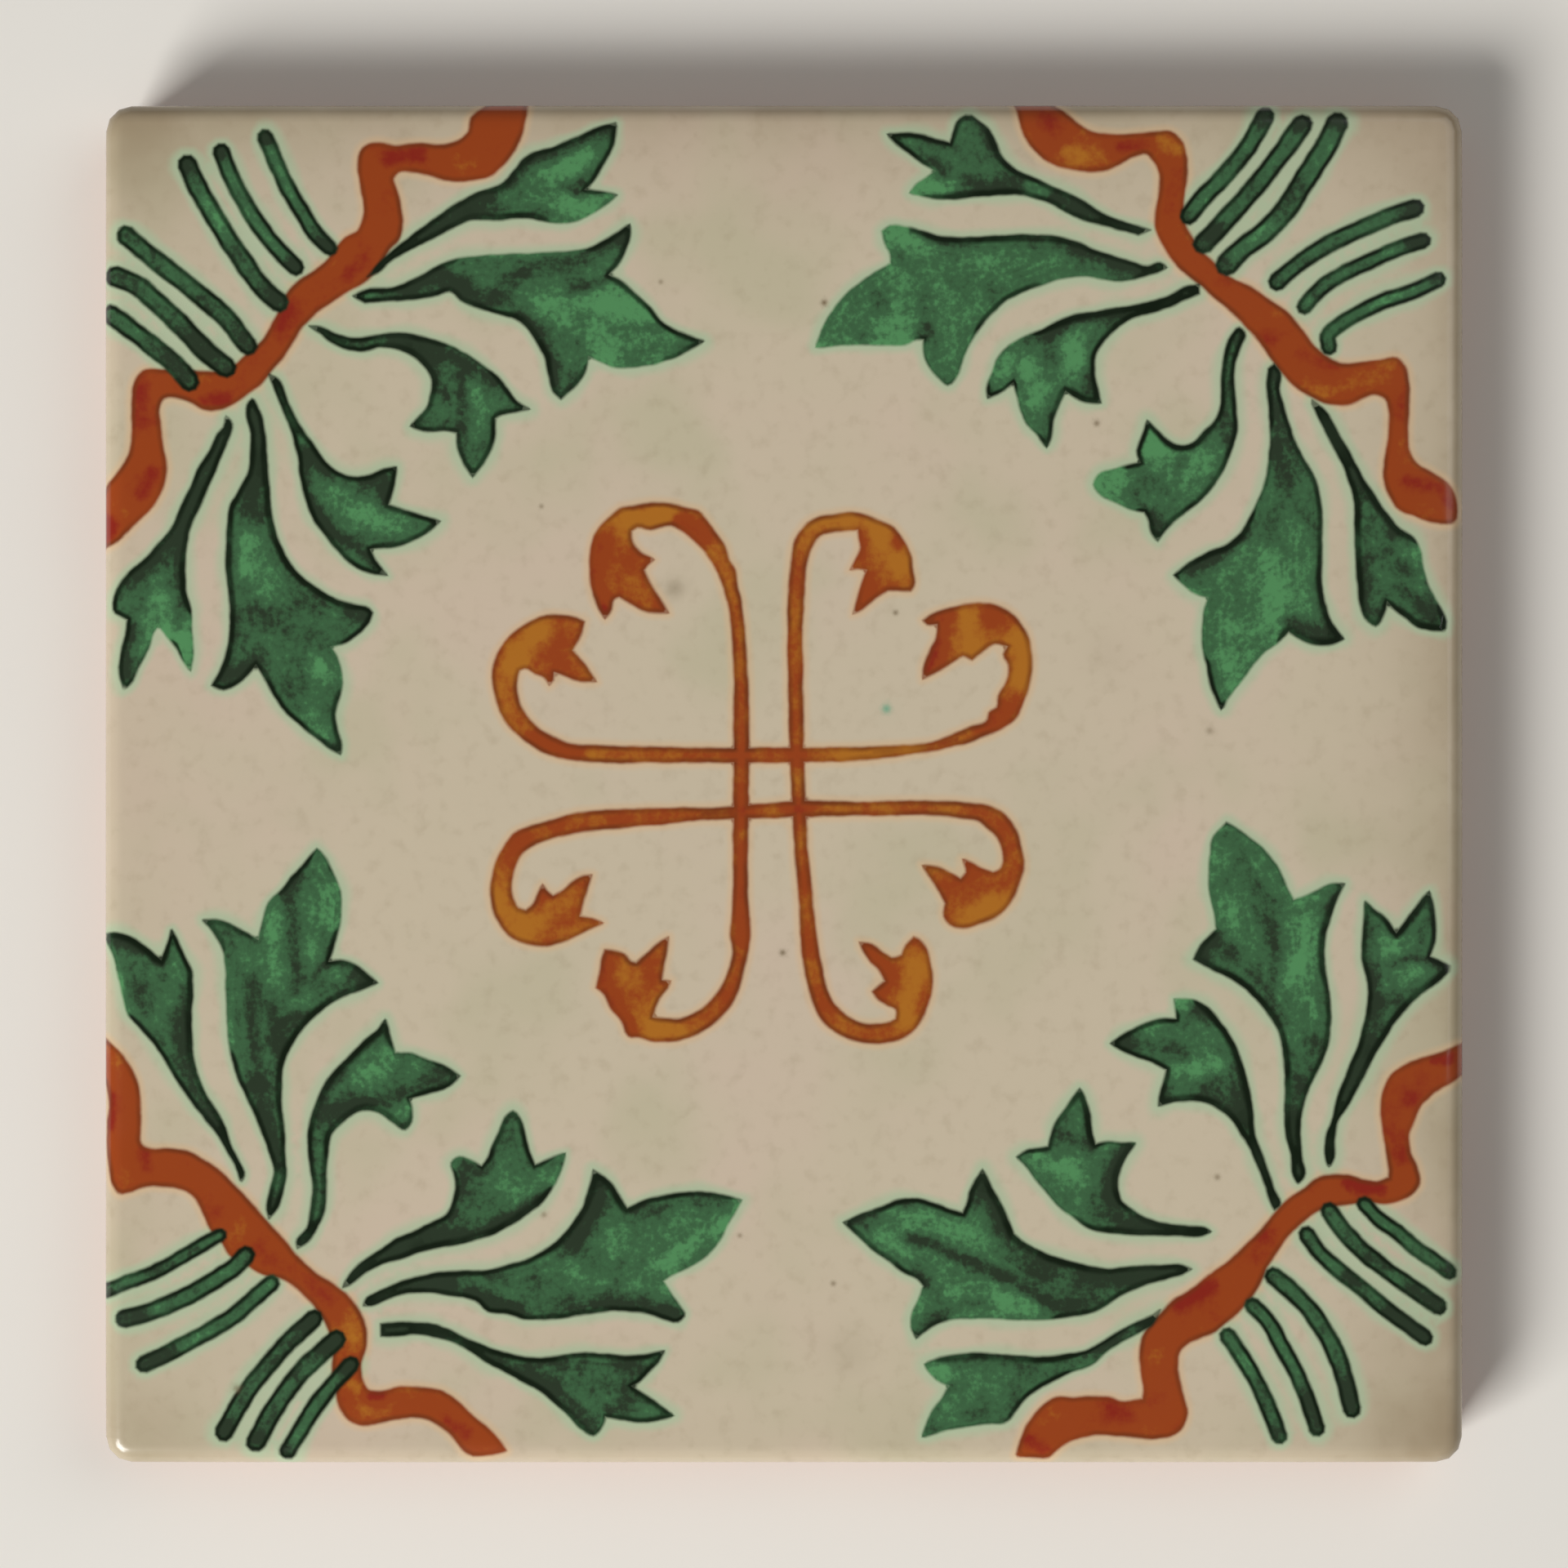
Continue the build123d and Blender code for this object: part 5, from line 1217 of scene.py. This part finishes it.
def glazed_clay():
    """Cream glaze with its painted pattern, and the bare clay that it leaves showing."""
    r = Recipe("glazed_clay")

    # Paint edges wander a little, as the brush did
    wander = r.ripple(**EDGE_WANDER)
    green = r.math("ADD", r.value("green_depth"), wander)
    rust = r.math("ADD", r.value("rust_depth"), wander)

    # Ground, with what bleeds out round the paint, then the paint and the specks
    colour = open_ground(r)
    colour = r.mix(r.rise(rust, *FRINGE_BAND, 0.0, FRINGE_STRENGTH), colour, FRINGE)
    halo = r.rise(green, r.patches(**HALO_WIDTHS), HALO_END, 0.0, HALO_STRENGTH)
    colour = r.mix(halo, colour, HALO)
    colour = r.mix(r.rise(rust, *RUST_EDGE), colour, rust_wash(r, rust))
    colour = r.mix(r.rise(green, *GREEN_EDGE), colour, green_wash(r, green))
    colour = r.mix(r.value("brown_speck"), colour, SMUDGE)
    colour = r.mix(r.value("mint_speck"), colour, MINT)

    # Bare clay
    glaze = r.value("glaze")
    clay = r.mix(r.patches(**CLAY_PATCHES), CLAY_PALE, CLAY_DARK)
    clay = r.mix(r.patches(**CLAY_GRIT), clay, CLAY_DARK)
    r.put(r.shader.inputs["Base Color"], r.mix(r.rise(glaze, *GLAZE_BAND), clay, colour))

    # Gloss and fine relief
    roughness = r.rise(glaze, *GLAZE_BAND, CLAY_ROUGHNESS, r.patches(**GLOSS_PATCHES))
    r.put(r.shader.inputs["Roughness"], roughness)
    skin = r.math("MULTIPLY", r.clouds(**GLAZE_SKIN), GLAZE_SKIN_HEIGHT)
    bareness = r.rise(glaze, *GLAZE_BAND, TOOTH_ON_CLAY, TOOTH_ON_GLAZE)
    tooth = r.math("MULTIPLY", r.clouds(**CLAY_TOOTH), bareness)
    bump = r.nodes.new("ShaderNodeBump")
    r.put(bump.inputs["Strength"], RELIEF_STRENGTH)
    r.put(bump.inputs["Distance"], RELIEF_HEIGHT * METRES)
    r.put(bump.inputs["Height"], r.math("ADD", skin, tooth))
    r.put(r.shader.inputs["Normal"], bump.outputs["Normal"])
    return r.material


def make_floor():
    """A plain pale floor that the tile lies on."""
    mesh = bpy.data.meshes.new("floor")
    reach = FLOOR_SIZE / 2
    corners = [(-reach, -reach, 0), (reach, -reach, 0), (reach, reach, 0), (-reach, reach, 0)]
    mesh.from_pydata(corners, [], [(0, 1, 2, 3)])
    floor = bpy.data.objects.new("floor", mesh)
    bpy.context.scene.collection.objects.link(floor)
    r = Recipe("pale_floor")
    r.put(r.shader.inputs["Base Color"], linear(FLOOR_COLOUR))
    r.put(r.shader.inputs["Roughness"], FLOOR_ROUGHNESS)
    mesh.materials.append(r.material)


def make_lamp(name, direction, size, level):
    """A square soft lamp that looks at the tile and brings this share of full light to a level surface."""
    way = Vector(direction).normalized()
    data = bpy.data.lights.new(name, "AREA")
    data.size = size
    data.energy = level * pi**2 * LAMP_DISTANCE**2 / way.z
    lamp = bpy.data.objects.new(name, data)
    lamp.location = way * LAMP_DISTANCE
    lamp.rotation_euler = way.to_track_quat("Z", "Y").to_euler()
    bpy.context.scene.collection.objects.link(lamp)


def make_light():
    """A key lamp from the lower left, a weaker fill from the upper right, and a pale surround."""
    make_lamp("key", KEY_DIRECTION, KEY_SIZE, KEY_LEVEL)
    make_lamp("fill", FILL_DIRECTION, FILL_SIZE, FILL_LEVEL)
    world = bpy.data.worlds.new("studio")
    world.use_nodes = True
    background = world.node_tree.nodes["Background"]
    background.inputs["Strength"].default_value = WORLD_LEVEL
    background.inputs["Color"].default_value = WORLD_COLOUR
    bpy.context.scene.world = world


def make_camera(slab):
    """Straight down on the face, with +Y at the top of the picture."""
    data = bpy.data.cameras.new("camera")
    data.sensor_width = SENSOR
    data.lens = LENS
    data.clip_end = CAMERA_REACH
    camera = bpy.data.objects.new("camera", data)
    picture_width = 2 * slab.half / TILE_SHARE
    camera.location = (0, 0, (picture_width * LENS / SENSOR + slab.top) * METRES)
    bpy.context.scene.collection.objects.link(camera)
    bpy.context.scene.camera = camera


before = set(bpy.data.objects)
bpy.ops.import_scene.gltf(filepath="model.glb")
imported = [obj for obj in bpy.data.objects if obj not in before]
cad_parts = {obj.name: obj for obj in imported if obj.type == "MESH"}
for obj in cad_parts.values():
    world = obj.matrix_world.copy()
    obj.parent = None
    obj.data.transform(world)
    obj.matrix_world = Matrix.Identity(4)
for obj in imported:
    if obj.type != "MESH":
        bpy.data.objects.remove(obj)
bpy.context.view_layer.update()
bpy.context.scene.view_settings.view_transform = "Standard"
slab = Slab(*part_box("tile"))
tile = make_tile(slab)
tile.data.materials.append(glazed_clay())
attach(tile, "root")
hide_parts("tile")
make_floor()
make_light()
make_camera(slab)
